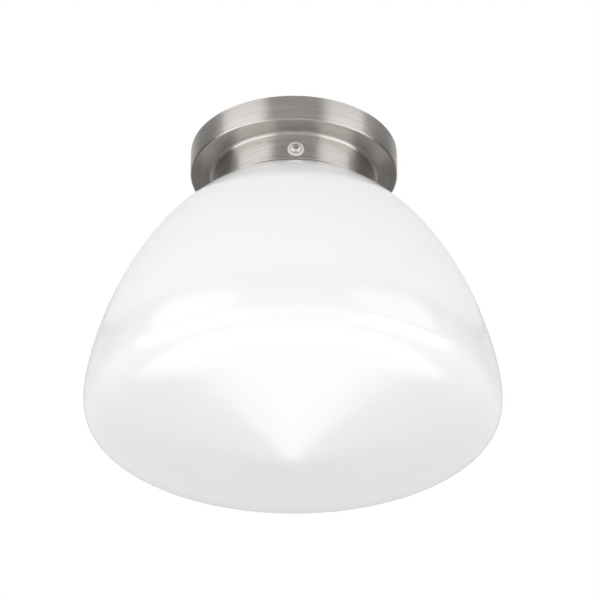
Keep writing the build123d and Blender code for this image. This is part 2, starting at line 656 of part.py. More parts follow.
def terminal_block_body():
    """Insulating block with an ear at each end and three screw towers."""
    core = 2 * BLOCK_PITCH + 2 * BLOCK_TOWER_RADIUS + 1
    body = Pos(0, 0, BLOCK_BASE_HEIGHT / 2) * Box(core, BLOCK_WIDTH, BLOCK_BASE_HEIGHT)
    ears = Pos(0, 0, BLOCK_EAR_HEIGHT / 2) * Box(BLOCK_LENGTH, BLOCK_WIDTH / 2, BLOCK_EAR_HEIGHT)
    body += fillet(ears.edges().filter_by(Axis.Z), 3)
    body -= [Pos(side * ear_offset(), 0, 0) * tube(M3_RADIUS + HOLE_FIT, 0, -1, BLOCK_BASE_HEIGHT) for side in (-1, 1)]
    for x in pole_places():
        for side in (-1, 1):
            tower = Pos(x, side * BARREL_SCREW_SPACING / 2, 0)
            body += tower * tube(BLOCK_TOWER_RADIUS, 0, 0, BLOCK_TOWER_HEIGHT)
            body -= tower * tube(BARREL_SCREW_RADIUS + 0.9, 0, BARREL_RISE, BLOCK_TOWER_HEIGHT + 1)
        bore = Rot(90, 0, 0) * tube(BARREL_RADIUS + THREAD_FIT, 0, -BLOCK_WIDTH, BLOCK_WIDTH)
        body -= Pos(x, 0, BARREL_RISE) * bore
    return Pos(0, BLOCK_OFFSET, plate_top) * body


def terminal_block_barrels():
    """Three brass barrels, bored for the leads and tapped from the top."""
    barrel = Rot(90, 0, 0) * tube(BARREL_RADIUS, BARREL_BORE, -BARREL_LENGTH / 2, BARREL_LENGTH / 2)
    for side in (-1, 1):
        tapping = tube(BARREL_SCREW_RADIUS + THREAD_FIT, 0, 0, 2 * BARREL_RADIUS)
        barrel -= Pos(0, side * BARREL_SCREW_SPACING / 2, 0) * tapping
    return [Pos(x, BLOCK_OFFSET, barrel_z) * barrel for x in pole_places()]


def terminal_block_screws():
    """Six headless screws in the towers, two to a pole."""
    low, high = CORE_RADIUS + FACE_GAP, BLOCK_TOWER_HEIGHT - BARREL_RISE - 2
    screw = slotted(tube(BARREL_SCREW_RADIUS, 0, low, high), high, BARREL_SCREW_RADIUS, 0.6, 0.5)
    rows = [-BARREL_SCREW_SPACING / 2, BARREL_SCREW_SPACING / 2]
    return [Pos(x, BLOCK_OFFSET + y, barrel_z) * screw for x in pole_places() for y in rows]


def terminal_block_fixings():
    """Two self-tapping screws through the block's ears into the plate."""
    seat = plate_top + BLOCK_EAR_HEIGHT
    screw = tube(M3_RADIUS, 0, plate_bottom - 2, seat)
    screw += pan_head(M3_HEAD_RADIUS, seat, M3_HEAD_HEIGHT, 0.7)
    screw = slotted(screw, seat + M3_HEAD_HEIGHT, M3_HEAD_RADIUS)
    return [Pos(side * ear_offset(), BLOCK_OFFSET, 0) * screw for side in (-1, 1)]


# --- earth point ---------------------------------------------------------------------------
def earth_tag():
    """Ring tag on the plate, crimped on the earth lead."""
    high = plate_top + TAG_THICKNESS
    inner = LEAD_RADIUS + THREAD_FIT
    ring = tube(TAG_RADIUS, 0, plate_top, high)
    reach = TAG_RADIUS + 1 + TAG_BARREL_LENGTH / 2
    tongue = Pos(-reach / 2, 0, plate_top + TAG_THICKNESS / 2) * Box(reach, 2 * inner, TAG_THICKNESS)
    barrel = Rot(0, 90, 0) * tube(inner + TAG_BARREL_WALL, inner, -TAG_BARREL_LENGTH / 2, TAG_BARREL_LENGTH / 2)
    barrel = Pos(-reach, 0, tag_barrel_z()) * barrel
    body = ring + tongue - tube(M4_RADIUS + HOLE_FIT, 0, plate_top - 1, high + 1)
    body -= Pos(-reach, 0, tag_barrel_z()) * Rot(0, 90, 0) * tube(inner, 0, -TAG_BARREL_LENGTH, TAG_BARREL_LENGTH)
    return Pos(EARTH_X, EARTH_Y, 0) * (body + barrel)


def tag_barrel_z():
    """Height of the crimped barrel's axis."""
    return plate_top + LEAD_RADIUS + THREAD_FIT + TAG_BARREL_WALL


def earth_washer():
    """Spring washer on the ring tag."""
    low = plate_top + TAG_THICKNESS
    return Pos(EARTH_X, EARTH_Y, 0) * tube(3.6, M4_RADIUS + HOLE_FIT, low, low + 0.9)


def earth_screw():
    """Screw that holds the ring tag to the plate."""
    seat = plate_top + TAG_THICKNESS + 0.9
    body = tube(M4_RADIUS, 0, plate_bottom - M4_NUT_HEIGHT - 0.8, seat)
    body += pan_head(CLAMP_HEAD_RADIUS, seat, CLAMP_HEAD_HEIGHT, CLAMP_HEAD_EDGE)
    body = slotted(body, seat + CLAMP_HEAD_HEIGHT, CLAMP_HEAD_RADIUS)
    return Pos(EARTH_X, EARTH_Y, 0) * body


def earth_nut():
    """Nut under the plate on the earth screw."""
    nut = hex_nut(M4_NUT_FLATS, plate_bottom - M4_NUT_HEIGHT, M4_NUT_HEIGHT, M4_RADIUS + THREAD_FIT)
    return Pos(EARTH_X, EARTH_Y, 0) * nut


# --- leads ---------------------------------------------------------------------------------
def bend_radii(points):
    """0.45 of the shorter run over the tangent of half the turn, at each inner point."""
    radii = []
    for before, here, after in zip(points, points[1:], points[2:]):
        one, two = Vector(*here) - Vector(*before), Vector(*after) - Vector(*here)
        half_turn = math.radians(one.get_angle(two)) / 2
        radii.append(0.45 * min(one.length, two.length) / math.tan(half_turn))
    return radii


def lead(name, points, bare_start, bare_end):
    """Insulated lead along its route, with its bared core standing out at the ends."""
    radii = bend_radii(points)
    path = FilletPolyline(*points, radius=radii)
    print(name, "length", round(path.length, 1), "radii", [round(radius, 1) for radius in radii])
    circle = Plane(path @ 0, z_dir=path % 0) * Circle(LEAD_RADIUS)
    body = sweep(circle, path=path)
    for bare, place, outwards in ((bare_start, path @ 0, -(path % 0)), (bare_end, path @ 1, path % 1)):
        if bare:
            body += Plane(place, z_dir=outwards) * Pos(0, 0, bare / 2) * Cylinder(CORE_RADIUS, bare)
    return body


def supply_leads():
    """Line and neutral: block to nipple, down the nipple, and out to the holder's clamps."""
    front = BLOCK_OFFSET - BARREL_LENGTH / 2
    clamp_top = base_top + TERMINAL_HEIGHT
    routes = {
        "lead_line": (-BLOCK_PITCH, (-9.6, 20.5, barrel_z + 0.8), (-6.2, 11.5, -5.2), (-2.0, 3.2, -5.0), -1),
        "lead_neutral": (0.0, (0.6, 20.5, barrel_z + 0.8), (3.2, 12.0, -5.4), (2.6, 3.2, -5.0), 1),
    }
    leads = {}
    for name, (pole, rise, crest, brink, side) in routes.items():
        points = [
            (pole, front + 0.5, barrel_z),
            rise,
            crest,
            brink,
            (side * LEAD_SPREAD, 0, nipple_top + 0.5),
            (side * LEAD_SPREAD, 0.2, plate_bottom - NIPPLE_BELOW - 1.5),
            (side * TERMINAL_OFFSET, 0, clamp_top + 8.5),
            (side * TERMINAL_OFFSET, 0, clamp_top + 0.3),
        ]
        leads[name] = lead(name, points, CORE_LENGTH, CORE_LENGTH - 1)
    return leads


def earth_lead():
    """From the third pole down to the ring tag."""
    front = BLOCK_OFFSET - BARREL_LENGTH / 2
    tag_start = EARTH_X - TAG_RADIUS - 1 - TAG_BARREL_LENGTH
    points = [
        (BLOCK_PITCH, front + 0.5, barrel_z),
        (11.0, 17.5, barrel_z + 0.8),
        (18.0, EARTH_Y, tag_barrel_z()),
        (tag_start + 4.5, EARTH_Y, tag_barrel_z()),
    ]
    return lead("earth_lead", points, CORE_LENGTH, 0)


# --- the whole lamp ------------------------------------------------------------------------
def nodes():
    """Every piece under its own name. Pieces in a list are separate solids of one node."""
    pieces = {
        "canopy": canopy(),
        "carrier_plate": carrier_plate(),
        "ceiling_strap": ceiling_strap(),
        "strap_screws": strap_screws(),
        "strap_locknuts": strap_locknuts(),
        "canopy_nut_washers": canopy_nut_washers(),
        "canopy_nuts": canopy_nuts(),
        "clamp_weld_nuts": clamp_weld_nuts(),
        "glass_shade": glass_shade(),
        "lampholder_nipple": lampholder_nipple(),
        "nipple_bush": nipple_bush(),
        "nipple_lock_washer": nipple_lock_washer(),
        "nipple_nut": nipple_nut(),
        "lampholder_cap": lampholder_cap(),
        "lampholder_base": lampholder_base(),
        "lampholder_skirt": lampholder_skirt(),
        "lampholder_shell": lampholder_shell(),
        "centre_contact": centre_contact(),
        "side_contact": side_contact(),
        "lampholder_terminals": lampholder_terminals(),
        "lampholder_terminal_screws": lampholder_terminal_screws(),
        "bulb_contact": bulb_contact(),
        "bulb_insulator": bulb_insulator(),
        "bulb_cap": bulb_cap(),
        "bulb_collar": bulb_collar(),
        "bulb_envelope": bulb_envelope(),
        "terminal_block_body": terminal_block_body(),
        "terminal_block_barrels": terminal_block_barrels(),
        "terminal_block_screws": terminal_block_screws(),
        "terminal_block_fixings": terminal_block_fixings(),
        "earth_tag": earth_tag(),
        "earth_washer": earth_washer(),
        "earth_screw": earth_screw(),
        "earth_nut": earth_nut(),
        "earth_lead": earth_lead(),
        **supply_leads(),
    }
    for side, azimuth in CLAMP_AZIMUTHS.items():
        pieces["clamp_screw_" + side] = clamp_screw(azimuth)
        pieces["clamp_washer_" + side] = clamp_washer(azimuth)
        pieces["clamp_tip_" + side] = clamp_tip(azimuth)
    return pieces


def main():
    os.makedirs("parts", exist_ok=True)
    for name, shape in nodes().items():
        solids = shape if isinstance(shape, list) else [shape]
        children = [solid for piece in solids for solid in piece.solids()]
        whole = Compound(children=children) if len(children) > 1 else children[0]
        export_step(whole, f"parts/{name}.step")


main()
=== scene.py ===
"""Flush mount ceiling light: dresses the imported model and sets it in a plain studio."""

import math

import bmesh
import bpy
from mathutils import Matrix, Vector


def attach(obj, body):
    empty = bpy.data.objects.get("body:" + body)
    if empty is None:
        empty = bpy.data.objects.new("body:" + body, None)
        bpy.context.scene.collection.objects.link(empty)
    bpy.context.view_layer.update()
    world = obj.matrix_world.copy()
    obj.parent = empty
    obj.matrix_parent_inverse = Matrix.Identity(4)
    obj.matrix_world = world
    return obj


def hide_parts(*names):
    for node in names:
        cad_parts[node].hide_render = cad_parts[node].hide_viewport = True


bl_info = {
    "name": "Flush mount ceiling light",
    "version": (1, 0, 0),
    "blender": (4, 5, 0),
    "location": "3D View > Sidebar > Ceiling light",
    "description": "Builds the canopy, shade, clamp screws and fittings of a flush mount ceiling light",
    "category": "Object",
}

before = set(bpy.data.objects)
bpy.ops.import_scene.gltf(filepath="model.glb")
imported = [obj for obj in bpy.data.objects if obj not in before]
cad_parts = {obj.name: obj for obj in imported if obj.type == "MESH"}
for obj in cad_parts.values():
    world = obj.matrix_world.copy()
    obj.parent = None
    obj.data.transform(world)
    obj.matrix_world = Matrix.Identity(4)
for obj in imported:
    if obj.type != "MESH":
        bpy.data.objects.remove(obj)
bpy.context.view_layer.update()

MM = 0.001
TURN = 2 * math.pi
CLAMP_TURNS = {"front": -90.0, "right": 30.0, "left": 150.0}

# Clearances, levels and standard sizes that several pieces share, in millimetres.
WASHER_GAP, FACE_GAP, HOLE_FIT = 0.15, 0.05, 0.25
CLAMP_TIP, CLAMP_END = 52.3, 53.1
TIP_RADIUS, TIP_SOCKET = 1.3, 2.5
NUT_HEIGHT, NUT_FLATS = 3.2, 7.0
M4_THREAD = (2.0, 0.36, 0.7)
CAP_THREAD = (0.75, 3.63)
CAP_TOP, CAP_LENGTH = -61.95, 26.0
HOLDER = 20.5
SHOULDER_GAP = 0.8
NECK_HOLLOW = 4.0
LIP_EDGE = 1.4
DRILL_REACH = 5.0

# The studio's cards, in metres and degrees.
STUDIO_TOP = 1.35
BACK_DISTANCE, BACK_SWEEP = 2.25, 92.0
FADE = 0.35


# --- sizes and colours that a user would change --------------------------------------------


def length(name, description, millimetres):
    return bpy.props.FloatProperty(
        name=name, description=description, default=millimetres * MM, unit="LENGTH", precision=5
    )


def angle(name, description, degrees):
    return bpy.props.FloatProperty(
        name=name, description=description, default=math.radians(degrees), subtype="ANGLE", unit="ROTATION"
    )


def colour(name, description, value):
    return bpy.props.FloatVectorProperty(
        name=name, description=description, default=value, size=3, subtype="COLOR", min=0, max=1
    )


def share(name, description, value, high=1.0):
    return bpy.props.FloatProperty(name=name, description=description, default=value, min=0, max=high)


class CanopySizes(bpy.types.PropertyGroup):
    radius: length("Radius", "Outside radius of the canopy's wide upper ring", 77.8)
    depth: length("Depth", "Height of the upper ring, from the ceiling to the step", 20.8)
    wall: length("Wall", "Thickness of the spun sheet", 1.0)
    edge: length("Edge", "Outside radius of the step's edge", 1.3)
    gallery_radius: length("Gallery radius", "Outside radius of the lower ring that holds the glass", 61.0)
    mouth: length("Mouth", "Depth of the gallery's mouth below the ceiling", 44.0)
    root: length("Root", "Hollow radius between the step and the gallery", 3.0)
    bead: length("Bead", "Radius of the rolled bead at the mouth", 0.7)
    screw_hole: length("Screw hole", "Radius of the holes for the clamp screws", 2.25)


class ShadeSizes(bpy.types.PropertyGroup):
    radius: length("Radius", "Largest radius of the glass", 150.0)
    wall: length("Wall", "Thickness of the glass", 3.0)
    widest: length("Widest", "Depth of the widest circle below the ceiling", 212.9)
    point: length("Point", "Depth of the cone's point below the ceiling", 264.5)
    slope: angle("Shoulder slope", "Slope of the glass where it leaves the gallery", 32.4)
    top_reach: length("Dome top reach", "How far the dome keeps its shoulder's direction", 76.8)
    side_reach: length("Dome side reach", "How far the dome stays upright above the widest circle", 27.0)
    rim_reach: length("Rim reach", "How far the rim stays upright below the widest circle", 15.2)
    cone_radius: length("Cone radius", "Radius at which the bottom becomes a straight cone", 112.0)
    cone_slope: angle("Cone slope", "Slope of the conical bottom", 11.5)
    cone_reach: length("Cone reach", "How far the rim keeps the cone's direction", 35.0)
    tip: length("Tip", "Radius of the small round tip", 50.0)
    neck: length("Neck", "Outside radius of the hidden neck", 52.0)
    lip: length("Lip", "Outside radius of the lip that rests on the clamp screws", 56.0)
    lip_low: length("Lip underside", "Depth of the lip's underside below the ceiling", 34.2)
    lip_high: length("Lip top", "Depth of the lip's top below the ceiling", 30.2)


class ClampSizes(bpy.types.PropertyGroup):
    depth: length("Depth", "Depth of the clamp screws below the ceiling", 36.5)
    head: length("Head radius", "Radius of the pan head", 4.0)
    height: length("Head height", "Height of the pan head", 2.6)
    shank: length("Shank radius", "Nominal radius of the screw's thread", 2.0)
    pitch: length("Pitch", "Rise of the screw's thread in one turn", 0.7)
    washer: length("Washer radius", "Outside radius of the broad washer", 6.0)
    washer_height: length("Washer height", "Thickness of the washer", 1.2)


class Colours(bpy.types.PropertyGroup):
    nickel: colour("Satin nickel", "Colour of the brushed canopy", (0.563, 0.535, 0.508))
    bright_nickel: colour("Bright nickel", "Colour of the clamp screws", (0.6, 0.585, 0.56))
    zinc: colour("Zinc", "Colour of the plated strap, plate and nuts", (0.58, 0.6, 0.62))
    opal: colour("Opal glass", "Colour of the shade", (0.92, 0.918, 0.92))
    nylon: colour("Nylon", "Colour of the clamp washers and tips", (0.72, 0.7, 0.67))
    brass: colour("Brass", "Colour of the contacts and terminals", (0.78, 0.58, 0.27))
    black: colour("Black plastic", "Colour of the lampholder's shell", (0.018, 0.018, 0.019))
    porcelain: colour("Porcelain", "Colour of the lampholder's insulating disc", (0.83, 0.8, 0.72))
    bulb: colour("Bulb", "Colour of the bulb's opal bowl", (0.9, 0.9, 0.87))
    block: colour("Terminal block", "Colour of the milky terminal block", (0.8, 0.8, 0.76))
    line: colour("Line lead", "Colour of the line lead's sheath", (0.19, 0.075, 0.03))
    neutral: colour("Neutral lead", "Colour of the neutral lead's sheath", (0.03, 0.13, 0.42))
    earth: colour("Earth lead", "First colour of the earth lead's sheath", (0.07, 0.33, 0.06))
    earth_stripe: colour("Earth stripe", "Second colour of the earth lead's sheath", (0.8, 0.68, 0.03))


class StageSettings(bpy.types.PropertyGroup):
    distance: length("Distance", "From the camera to its target", 2000.0)
    target: length("Target depth", "Depth of the camera's target below the ceiling, on the axis", 125.0)
    elevation: angle("Elevation", "Angle of the camera below the level", -30.7)
    azimuth: angle("Azimuth", "Turn of the camera about the lamp's axis", -1.25)
    aim_right: length("Aim right", "How far the camera looks to the right of its target", 4.87)
    aim_down: length("Aim down", "How far the camera looks below its target", 2.52)
    roll: angle("Roll", "Roll of the camera", 0.14)
    lens: bpy.props.FloatProperty(
        name="Focal length", description="Of the camera's lens", default=163.6, subtype="DISTANCE_CAMERA"
    )
    floor: length("Floor", "Depth of the floor below the ceiling", 2600.0)
    left_light: share("Left light", "Brightness of the low softbox on the left", 1.4, 100)
    right_light: share("Right light", "Brightness of the low softbox on the right", 1.45, 100)
    high_left_light: share("High left light", "Brightness of the high card on the left", 1.65, 100)
    high_right_light: share("High right light", "Brightness of the high card on the right", 1.5, 100)
    low_light: share("Low light", "Brightness of the glowing card below", 1.85, 100)
    surround: share("Surround", "Brightness of the studio round the lamp", 0.93, 10)


GROUPS = {
    "ceiling_light_canopy": CanopySizes,
    "ceiling_light_shade": ShadeSizes,
    "ceiling_light_clamps": ClampSizes,
    "ceiling_light_colours": Colours,
    "ceiling_light_stage": StageSettings,
}


# --- node graphs ---------------------------------------------------------------------------


class Value:
    """A node's output. Sums written with it add the Math nodes that work them out."""

    def __init__(self, graph, socket):
        self.graph = graph
        self.socket = socket

    def math(self, operation, *others):
        return self.graph.math(operation, self, *others)

    def __add__(self, other):
        return self.math("ADD", other)

    def __radd__(self, other):
        return self.math("ADD", other)

    def __sub__(self, other):
        return self.math("SUBTRACT", other)

    def __rsub__(self, other):
        return self.graph.math("SUBTRACT", other, self)

    def __mul__(self, other):
        return self.math("MULTIPLY", other)

    def __rmul__(self, other):
        return self.math("MULTIPLY", other)

    def __truediv__(self, other):
        return self.math("DIVIDE", other)

    def __rtruediv__(self, other):
        return self.graph.math("DIVIDE", other, self)

    def __pow__(self, other):
        return self.math("POWER", other)


class Graph:
    """Adds nodes to one node tree."""

    def __init__(self, tree):
        self.tree = tree

    def node(self, kind, settings=None, sockets=None, output=0):
        """A node of any type. Its settings are made first, then its sockets are fed."""
        made = self.tree.nodes.new(kind)
        for name, value in (settings or {}).items():
            setattr(made, name, value)
        for key, value in (sockets or {}).items():
            self.feed(made.inputs[key], value)
        return Value(self, made.outputs[output])

    def feed(self, socket, value):
        if isinstance(value, Value):
            self.tree.links.new(value.socket, socket)
        elif hasattr(value, "__len__") and len(value) == 3 and socket.type == "RGBA":
            socket.default_value = (*value, 1.0)
        else:
            socket.default_value = value

    def math(self, operation, *values):
        return self.node("ShaderNodeMath", {"operation": operation}, dict(enumerate(values)))

    def vector(self, x, y, z):
        return self.node("ShaderNodeCombineXYZ", sockets={0: x, 1: y, 2: z})

    def parts(self, vector):
        """The three numbers of a vector."""
        first = self.node("ShaderNodeSeparateXYZ", sockets={0: vector})
        return [Value(self, first.socket.node.outputs[index]) for index in range(3)]


class Finish(Graph):
    """A material with one Principled shader, whose patterns are fed by nodes."""

    def __init__(self, name, **constants):
        self.material = bpy.data.materials.new(name)
        self.material.use_nodes = True
        super().__init__(self.material.node_tree)
        self.shader = self.tree.nodes["Principled BSDF"]
        self.set(**constants)
        self.place = self.node("ShaderNodeTexCoord", output="Object")

    def set(self, **values):
        """Feeds the shader's sockets, named with underscores for spaces."""
        for name, value in values.items():
            self.feed(self.shader.inputs[name.replace("_", " ").title().replace("Ior", "IOR")], value)
        return self

    def noise(self, scale, vector=None, detail=2.0, roughness=0.5):
        sockets = {"Vector": vector or self.place, "Scale": scale, "Detail": detail, "Roughness": roughness}
        return self.node("ShaderNodeTexNoise", sockets=sockets)

    def mix(self, factor, first, second):
        """Mixes two colours, which are inputs 6 and 7 and output 2 of a Mix node."""
        return self.node("ShaderNodeMix", {"data_type": "RGBA"}, {0: factor, 6: first, 7: second}, 2)

    def tinted(self, base, factor, dark=0.92, light=1.04):
        """The base colour, a little darker or lighter where the factor says."""
        low = [channel * dark for channel in base]
        high = [min(channel * light, 1.0) for channel in base]
        return self.mix(factor, low, high)

    def bump(self, height, strength, distance):
        sockets = {"Strength": strength, "Distance": distance, "Height": height}
        normal = self.node("ShaderNodeBump", sockets=sockets)
        self.feed(self.shader.inputs["Normal"], normal)
        return self

    def rings(self):
        """Coordinates that run round the lamp's axis, so that noise on them draws fine circles."""
        x, y, z = self.parts(self.place)
        radius = (x * x + y * y + 1e-9) ** 0.5
        return x / radius, y / radius, z + radius


# --- finishes ------------------------------------------------------------------------------


def satin_nickel(base):
    """Nickel plate brushed round the axis while it was spun."""
    finish = Finish("satin_nickel", metallic=1.0, anisotropic=0.93, anisotropic_rotation=0.25)
    across, along, level = finish.rings()
    fine = finish.noise(1.0, finish.vector(across * 3.0, along * 3.0, level * 2400.0), 3.0, 0.7)
    broad = finish.noise(1.0, finish.vector(across * 1.6, along * 1.6, level * 620.0), 2.0)
    cloud = finish.noise(26.0, detail=3.0)
    brushed = (fine * 0.6 + broad * 0.4 - 0.5) * 2.4 + 0.5
    finish.set(base_color=finish.tinted(base, brushed.math("MINIMUM", 1.0).math("MAXIMUM", 0.0), 0.76, 1.16))
    finish.set(roughness=0.24 + 0.1 * brushed + 0.05 * cloud)
    return finish.bump(brushed, 0.25, 0.00003).material


def turned_metal(name, base, roughness):
    """Small turned, rolled or pressed metal parts: faint streaks and handling marks."""
    finish = Finish(name, metallic=1.0)
    stretch = {0: finish.place, 1: (420.0, 420.0, 3600.0)}
    streaks = finish.noise(1.0, finish.node("ShaderNodeVectorMath", {"operation": "MULTIPLY"}, stretch))
    marks = finish.noise(240.0, detail=4.0)
    finish.set(base_color=finish.tinted(base, streaks * 0.5 + marks * 0.5, 0.85, 1.1))
    finish.set(roughness=roughness - 0.08 + 0.16 * marks)
    return finish.bump(streaks, 0.12, 0.00002).material


def zinc_plate(base):
    """Zinc plate with its faint crystals and a slightly blue passivated film."""
    finish = Finish("zinc_plate", metallic=1.0)
    crystals = {"Vector": finish.place, "Scale": 520.0}
    grain = finish.node("ShaderNodeTexVoronoi", sockets=crystals, output="Color")
    mottle = finish.node("ShaderNodeSeparateColor", sockets={0: grain})
    film = finish.noise(60.0, detail=3.0)
    warm = [base[0] * 1.05, base[1] * 1.0, base[2] * 0.9]
    tone = finish.tinted(base, mottle, 0.9, 1.06)
    finish.set(base_color=finish.mix(film * 0.5, tone, warm))
    finish.set(roughness=0.3 + 0.12 * mottle + 0.08 * film)
    return finish.bump(mottle, 0.08, 0.00003).material


def opal_glass(base):
    """Glossy blown opal glass: milky, with the faint unevenness of blown work."""
    finish = Finish("opal_glass", ior=1.56)
    milk = finish.noise(9.0, detail=3.0)
    waves = finish.noise(16.0, detail=1.0)
    specks = finish.noise(900.0, detail=2.0)
    finish.set(base_color=finish.tinted(base, milk, 0.99, 1.005))
    finish.set(roughness=0.025 + 0.03 * milk + 0.01 * specks)
    return finish.bump(waves, 0.12, 0.0012).material


def moulded(name, base, roughness, grain=0.0, scale=1400.0):
    """Moulded plastic: faint flow marks and a fine grain."""
    finish = Finish(name, ior=1.48)
    flow = finish.noise(70.0, detail=3.0)
    fine = finish.noise(scale, detail=2.0)
    finish.set(base_color=finish.tinted(base, flow, 0.94, 1.04))
    finish.set(roughness=roughness + 0.08 * flow + 0.04 * fine)
    return finish.bump(fine, 0.1 + grain, 0.00004).material


def glazed_porcelain(base):
    """Porcelain under a clear glaze, with a few fine specks."""
    finish = Finish("glazed_porcelain", ior=1.5, coat_weight=0.6, coat_roughness=0.04)
    specks = finish.noise(700.0, detail=1.0)
    body = finish.noise(40.0, detail=3.0)
    dark = [channel * 0.7 for channel in base]
    glaze = finish.tinted(base, body, 0.95, 1.02)
    finish.set(base_color=finish.mix(specks.math("GREATER_THAN", 0.74), glaze, dark))
    finish.set(roughness=0.2 + 0.1 * body)
    return finish.bump(body, 0.06, 0.0002).material


def striped_sheath(first, second):
    """The earth lead's two colours, side by side along the lead."""
    finish = Finish("earth_sheath", ior=1.45, roughness=0.38)
    x, y, z = finish.parts(finish.place)
    wave = (x * 900.0 + y * 1300.0 + z * 1700.0).math("SINE")
    edge = finish.noise(300.0, detail=1.0)
    finish.set(base_color=finish.mix((wave + 0.4 * edge).math("GREATER_THAN", 0.2), first, second))
    return finish.bump(edge, 0.05, 0.0001).material


def floor_finish(shade):
    """The studio's plain matt floor."""
    finish = Finish("pale_floor", roughness=0.9)
    grain = finish.noise(3.0, detail=4.0)
    finish.set(base_color=finish.tinted([shade] * 3, grain, 0.985, 1.0))
    return finish.material


def smooth(value, start, end):
    """Rises smoothly from 0 where the value is start to 1 where it is end."""
    rise = ((value - start) / (end - start)).math("MAXIMUM", 0.0).math("MINIMUM", 1.0)
    return rise * rise * (3 - 2 * rise)


def shaded_card(name, shade, low, high, cover):
    """A matt card whose glow is low where cover(x, y, z) is 0 and high where it is 1."""
    finish = Finish(name, roughness=0.9, base_color=[shade] * 3, emission_strength=1.0)
    glow = low + (high - low) * cover(*finish.parts(finish.place))
    finish.set(emission_color=finish.vector(glow, glow, glow))
    return finish.material


def over_and_behind(x, y, z):
    """The ceiling above the lamp and towards its back."""
    return smooth((x * x + (y - 0.55) ** 2) ** 0.5, 1.95, 1.6)


def middle_of_back(x, y, z):
    """The back card from a little under the lamp upwards, without its two sides."""
    return smooth(z, -1.3, -0.35) * smooth(y, 1.1, 1.8)


def finishes(colours):
    """Every finish of the lamp, made once."""
    return {
        "satin_nickel": satin_nickel(colours.nickel),
        "bright_nickel": turned_metal("bright_nickel", colours.bright_nickel, 0.48),
        "zinc": zinc_plate(colours.zinc),
        "opal": opal_glass(colours.opal),
        "nylon": moulded("nylon", colours.nylon, 0.42, 0.1),
        "brass": turned_metal("brass", colours.brass, 0.28),
        "shell": turned_metal("nickel_shell", (0.66, 0.64, 0.6), 0.22),
        "bulb_metal": turned_metal("bulb_metal", (0.74, 0.74, 0.73), 0.3),
        "black": moulded("black_plastic", colours.black, 0.3, 0.1),
        "black_glass": moulded("black_glass", (0.012, 0.012, 0.014), 0.12),
        "porcelain": glazed_porcelain(colours.porcelain),
        "bulb": moulded("bulb_diffuser", colours.bulb, 0.45, 0.05, 2400.0),
        "collar": moulded("bulb_collar", (0.86, 0.86, 0.84), 0.28),
        "block": moulded("terminal_block", colours.block, 0.4, 0.1),
        "line": moulded("line_sheath", colours.line, 0.4, 0.1),
        "neutral": moulded("neutral_sheath", colours.neutral, 0.4, 0.1),
        "earth": striped_sheath(colours.earth, colours.earth_stripe),
    }


MADE = {}


def finish_of(name):
    """The finish with that name."""
    if not MADE:
        MADE.update(finishes(bpy.context.scene.ceiling_light_colours))
    return MADE[name]


# --- geometry node trees -------------------------------------------------------------------


def new_tree(name, inputs):
    """An empty geometry tree with its named inputs."""
    tree = bpy.data.node_groups.new(name, "GeometryNodeTree")
    tree.interface.new_socket("Geometry", in_out="INPUT", socket_type="NodeSocketGeometry")
    tree.interface.new_socket("Geometry", in_out="OUTPUT", socket_type="NodeSocketGeometry")
    for label, kind in inputs:
        tree.interface.new_socket(label, in_out="INPUT", socket_type=kind)
    graph = Graph(tree)
    entry = tree.nodes.new("NodeGroupInput")
    given = {socket.name: Value(graph, socket) for socket in entry.outputs if socket.name}
    return graph, given


def close_tree(graph, geometry, material):
    """Ends a tree in Realize Instances and Set Material."""
    real = graph.node("GeometryNodeRealizeInstances", sockets={0: geometry})
    painted = graph.node("GeometryNodeSetMaterial", sockets={"Geometry": real, "Material": material})
    exit_node = graph.tree.nodes.new("NodeGroupOutput")
    graph.feed(exit_node.inputs[0], painted)


def turning_tree():
    """Spins a profile about Z. A point's Y is the depth of its thread or rib. Flats cuts a hexagon."""
    inputs = [
        ("Segments", "NodeSocketInt"),
        ("Pitch", "NodeSocketFloat"),
        ("Ribs", "NodeSocketInt"),
        ("Flats", "NodeSocketFloat"),
        ("Material", "NodeSocketMaterial"),
    ]
    graph, given = new_tree("Turning", inputs)
    profile = given["Geometry"]
    count = graph.node("GeometryNodeAttributeDomainSize", sockets={0: profile})
    size = {"Vertices X": given["Segments"] + 1, "Vertices Y": count}
    grid = graph.node("GeometryNodeMeshGrid", sockets=size)
    index = graph.node("GeometryNodeInputIndex")
    column = (index / count + 0.00001).math("FLOOR")
    row = index - column * count
    place = graph.node("GeometryNodeInputPosition")
    sampled = graph.node(
        "GeometryNodeSampleIndex",
        {"data_type": "FLOAT_VECTOR", "domain": "POINT"},
        {"Geometry": profile, "Value": place, "Index": row},
    )
    radius, depth, height = graph.parts(sampled)
    around = column / given["Segments"] * TURN
    rise = height / given["Pitch"].math("MAXIMUM", 0.00001) - around / TURN
    helix = rise * given["Pitch"].math("GREATER_THAN", 0.0)
    wave = 0.5 - 0.5 * ((helix + around * given["Ribs"] / TURN) * TURN).math("COSINE")
    formed = radius - depth * wave
    sixth = (around + TURN / 12).math("FLOORED_MODULO", TURN / 6) - TURN / 12
    round_piece = given["Flats"].math("LESS_THAN", 0.00001)
    hexagon = given["Flats"] * 0.5 / sixth.math("COSINE") + 10.0 * round_piece
    formed = formed.math("MINIMUM", hexagon)
    spot = graph.vector(formed * around.math("COSINE"), formed * around.math("SINE"), height)
    shaped = graph.node("GeometryNodeSetPosition", sockets={"Geometry": grid, "Position": spot})
    closed = graph.node("GeometryNodeMergeByDistance", sockets={"Geometry": shaped, "Distance": 0.000001})
    close_tree(graph, closed, given["Material"])
    return graph.tree


